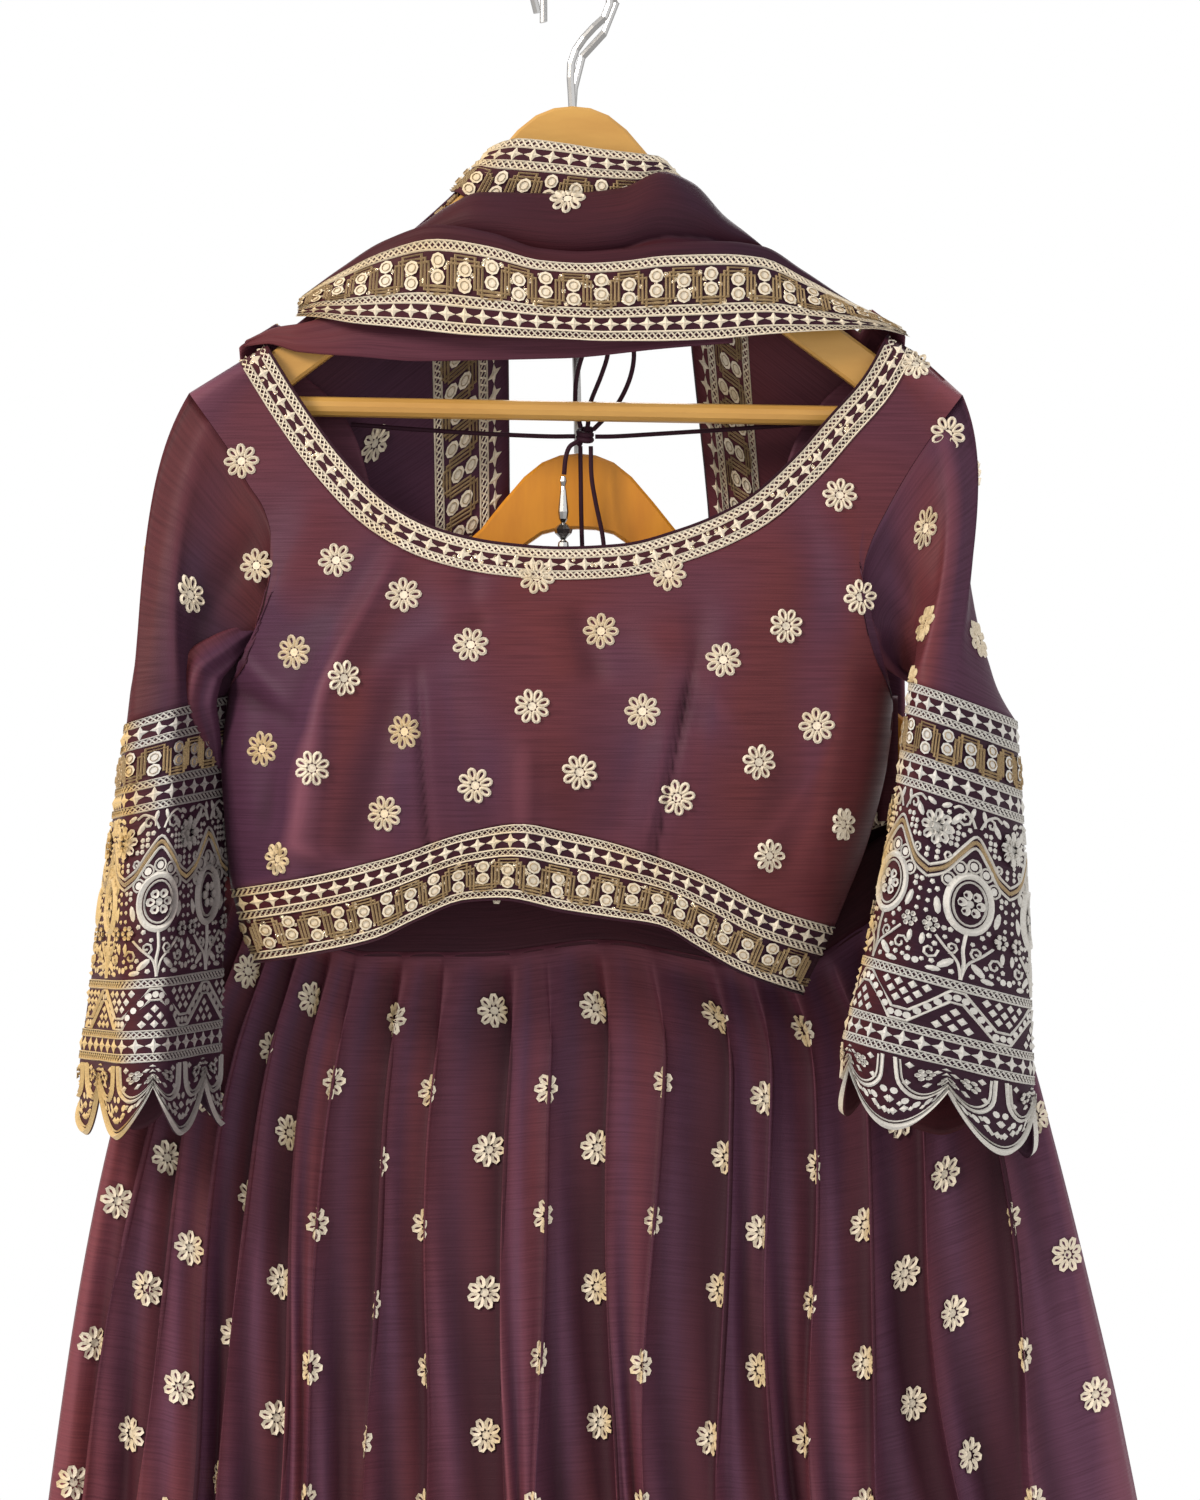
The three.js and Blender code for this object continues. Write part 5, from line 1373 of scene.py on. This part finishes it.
for name, (_, cloth) in sleeves.items():
    lay(f"cuff_work_{name}", cloth.border(CUFF_BORDER, CUFF_TALL), CUFF_WORK[name], f"cuff_ground_{name}")
SLEEVE_BUTIS = {"left": seen_at(186, 487, 154, 555, 190, 595, 183, 635),
                "right": seen_at(976, 478, 926, 526, 954, 629, 925, 626, 893, 700)}
SLEEVE_BACK_BUTIS = [(0.6, 0.3), (0.72, 0.62), (0.86, 0.25), (0.9, 0.75)]
for name, (cloth, _) in sleeves.items():
    places = cloth.spot(*SLEEVE_BUTIS[name]) + SLEEVE_BACK_BUTIS
    lay(f"sleeve_butis_{name}", [(fine_buti, copies(places), cloth.scatter(places))], WORK,
        f"sleeve_cloth_{name}")
back_places = [(x, z) for k, x in enumerate(range(-168, 160, 42))
               for z in range(-420 + 30 * (k % 2), -520, -60)]
back_places += [(-148, -270), (-138, -330), (150, -275), (142, -335), (-150, -385), (150, -385)]
lay("blouse_back_butis", [(buti, copies(back_places), pressed(1, back_places))], WORK, "blouse_back")

neck_work = neck_cloth.border(NECK_ROWS, NECK_BORDER)
neck_work += sprinkle(neck_cloth, 90, (620, NECK_BORDER), 7, 13)
lay("neck_border_work", neck_work, WORK, "neck_ground")
hem_work = hem_front.border(BORDER, BORDER_TALL) + sprinkle(hem_front, 190, (360, BORDER_TALL), 20, 39)
lay("hem_border_work_front", hem_work, WORK, "hem_ground_front")
lay("hem_border_work_back", hem_back.border(BORDER, BORDER_TALL), WORK, "hem_ground_back")

SCARF_BORDER = 41
SWAG_ROWS = [(lace, 0, 5), (key_motif, 5, 24), (lace, 24, 29), (star, 29, 36), (lace, 36, SCARF_BORDER)]
SWAG_RANGE = (0.14, 1)
NECK_WRAP_ROWS = [(lace, 0, 5), (star, 5, 12), (lace, 12, 17), (key_motif, 17, 38)]
swag_work = wraps["swag"].border(SWAG_ROWS, SCARF_BORDER, v_range=SWAG_RANGE)
swag_work += sprinkle(wraps["swag"], 170, (350, SCARF_BORDER), 6, 23, SWAG_RANGE)
wrap_work = wraps["neck"].border(NECK_WRAP_ROWS, 38, v_range=(0, 0.98))
lay("dupatta_swag_work", swag_work, WORK, "dupatta_swag_cloth")
lay("dupatta_neck_work", wrap_work, WORK, "dupatta_neck_cloth")
fold_spot = wraps["folds"].spot(*seen_at(567, 197))
lay("dupatta_fold_buti", [(fine_buti, copies(fold_spot), wraps["folds"].scatter(fold_spot))], WORK,
    "dupatta_folds_cloth")

TAIL_ROWS = [(star, 4, 11), (lace, 11, 16), (key_motif, 16, 36), (lace, 36, SCARF_BORDER)]
TAIL_WIDE = 147
TAIL_BUTIS = {"left": seen_at(375, 432), "right": seen_at(850, 440)}
for name, cloth in tails.items():
    share = SCARF_BORDER / TAIL_WIDE
    places = cloth.spot(*TAIL_BUTIS[name])
    places += [(0.64 + 0.2 * (k % 2), v) for k, v in enumerate(np.arange(0.24, 0.98, 0.036))]
    rear = [(TAIL_LAYERS - 0.5 - 0.24 * (k % 2), v) for k, v in enumerate(np.arange(0.12, 0.98, 0.036))]
    butis = [(buti, copies(places), cloth.scatter(places)),
             (buti, copies(rear), cloth.scatter(rear, behind=True))]
    lay(f"dupatta_tail_butis_{name}", butis, WORK, f"dupatta_tail_cloth_{name}")
    work = cloth.border(TAIL_ROWS, SCARF_BORDER, (0, share), across=True)
    work += cloth.border(TAIL_ROWS, SCARF_BORDER, (TAIL_LAYERS, TAIL_LAYERS - share), across=True,
                         behind=True)
    lay(f"dupatta_tail_work_{name}", work, WORK, f"dupatta_tail_cloth_{name}")

# ---- Skirt flowers ----------------------------------------------------------------------------
BUTI_ROWS, BUTI_COLUMNS = 77, 47  # from one flower to the next down the cloth, and from column to column


def skirt_butis(cloth):
    """Places of the skirt's flowers, in staggered columns down its cloth."""
    middle = len(cloth.vs) // 2
    run = cloth.run[:, middle]
    places = []
    for k, along in enumerate(np.arange(20, run[-1] - 15, BUTI_COLUMNS)):
        u = np.interp(along, run, cloth.us)
        column = int(np.clip(round(np.interp(along, run, np.arange(len(run)))), 0, len(run) - 1))
        for down in np.arange(38 + (k % 2) * BUTI_ROWS / 2, cloth.fall[column, -1] - 30, BUTI_ROWS):
            places.append((u, np.interp(down + rng.uniform(-4, 4), cloth.fall[column], cloth.vs)))
    return places


for name, cloth in (("front", skirt_front), ("back", skirt_back)):
    places = skirt_butis(cloth)
    butis = [(buti, copies(places, rng.uniform(0, 6, len(places))), cloth.scatter(places))]
    lay(f"skirt_butis_{name}", butis, WORK, f"skirt_{name}_cloth")

# ---- How each cloth is held and by what, with its area and length, worked out and not kept ----
HELD = {"blouse": ("hung", "hanger_wood"), "sleeve": ("hung", "choli_front"), "neck": ("hung", "choli_front"),
        "hem": ("hung", "choli_front"), "cuff": ("hung", "sleeve_left"), "skirt": ("gathered", "waistband"),
        "waistband": ("hung", "hanging_tape_left"), "dupatta": ("draped", "hanger_wood"),
        "tape": ("hung", "skirt_hanger_wood")}
for cloth, name, node in PIECES:
    held, support = HELD[name.split("_")[0]]
    held = "folded" if "tail" in name else held
    area, long = cloth.area() * MM * MM, cloth.fall[:, -1].mean() * MM

# ---- Tie --------------------------------------------------------------------------------------
CORD = 1.3  # half a cord's thickness
KNOT = (7, 13, -260.5)
TIE = {
    "dori_left_span": table("x y z", [-122.4, 12, -254], [-90, 12.5, -256.5], [-50, 13, -259],
        [-15, 13, -260.5], [1.6, 13, -260.5]),
    "dori_left_loop": table("x y z", [4.6, 12.2, -255.5], [2.6, 9.5, -247.5], [1.6, 8.6, -240.5],
        [2.6, 4, -227.5], [7, -4, -213.5], [13, -8, -204.5], [19, -6, -208.5], [19.5, -2, -216.5],
        [16, 4, -227.5], [10.6, 9, -240.5], [9, 11, -247.5], [8.4, 13.5, -255.1], [5.6, 12.4, -260],
        [3, 10.3, -263.4], [-1.4, 8.5, -266.5], [-3.6, 8, -272.5], [-4.6, 8.4, -282]),
    "dori_right_span": table("x y z", [126.2, 12, -254], [90, 12.5, -256.5], [50, 13, -259], [25, 13, -260.5],
        [12.6, 13, -260.7]),
    "dori_right_loop": table("x y z", [4.4, 14.4, -265.9], [4.6, 14.4, -282.5], [5, 14.4, -307.5],
        [6, 14.4, -337.5], [7, 14.4, -359.5], [12, 14.4, -369.5], [17, 14.4, -361.5], [18, 14.4, -337.5],
        [17, 14.4, -317.5], [13, 14.4, -297.5], [10.6, 14.4, -282.5], [10.2, 14.4, -265.9]),
    "dori_right_end": table("x y z", [11.6, 12.4, -256.9], [20, 9.6, -248.5], [26.5, 8.8, -240.5],
        [32, 4, -228.5], [34, -3, -216.5], [32, -8, -205.5]),
}


def smooth_line(rows, each=8):
    """Points of a smooth line through a table's points, evenly eased through every one."""
    points = np.stack([rows[k] for k in "xyz"], 1)
    before, after = 2 * points[0] - points[1], 2 * points[-1] - points[-2]
    p = np.vstack([before, points, after])
    t = np.linspace(0, 1, each, endpoint=False)[:, None]
    spans = [0.5 * (2 * b + (c - a) * t + (2 * a - 5 * b + 4 * c - d) * t ** 2
                    + (3 * b - a - 3 * c + d) * t ** 3)
             for a, b, c, d in zip(p, p[1:], p[2:], p[3:])]
    return np.vstack(spans + [points[-1:]])


def cord_curve(name, points, radius):
    """A round cord along a line of points."""
    data = bpy.data.curves.new(name, "CURVE")
    data.dimensions = "3D"
    data.bevel_depth, data.bevel_resolution, data.use_fill_caps = radius * MM, 3, True
    spline = data.splines.new("POLY")
    spline.points.add(len(points) - 1)
    spline.points.foreach_set("co", np.column_stack([points * MM, np.ones(len(points))]).ravel())
    data.materials.append(PIPING)
    obj = linked(name, data)
    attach(obj, "root")
    return obj


t = even(70)
wound = 5.2 * np.pi * t
winding = np.stack([KNOT[0] + 3.4 * np.cos(wound), KNOT[1] + 3.2 * np.sin(wound),
                    KNOT[2] + 3.6 - 7.2 * t + 1.2 * np.sin(wound)], 1)
knot = cord_curve("tie_knot", winding, 1.7)
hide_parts("dori_knot")
for name, rows in TIE.items():
    line = smooth_line(rows)
    tie = cord_curve(name.replace("dori", "tie"), line, CORD)
    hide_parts(*([name, "dori_left_tail"] if name == "dori_left_loop" else [name]))

# ---- Hangers and drop -------------------------------------------------------------------------
for node, material in (("hanger_wood", WOOD), ("hanger_bar", WOOD), ("skirt_hanger_wood", WOOD_DARK),
                       ("hanger_hook", STEEL), ("skirt_hanger_hook", STEEL), ("dori_drop", STEEL)):
    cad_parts[node].data.materials[0] = material

FLOOR_Z, FLOOR_HALF = -1.75, 4  # metres
floor = linked("floor", grid_mesh("floor", 1, 1, FLOOR_HALF))
floor.location = (0, 0, FLOOR_Z)
floor.data.materials.append(Finish("pale_floor", 0.8).material)
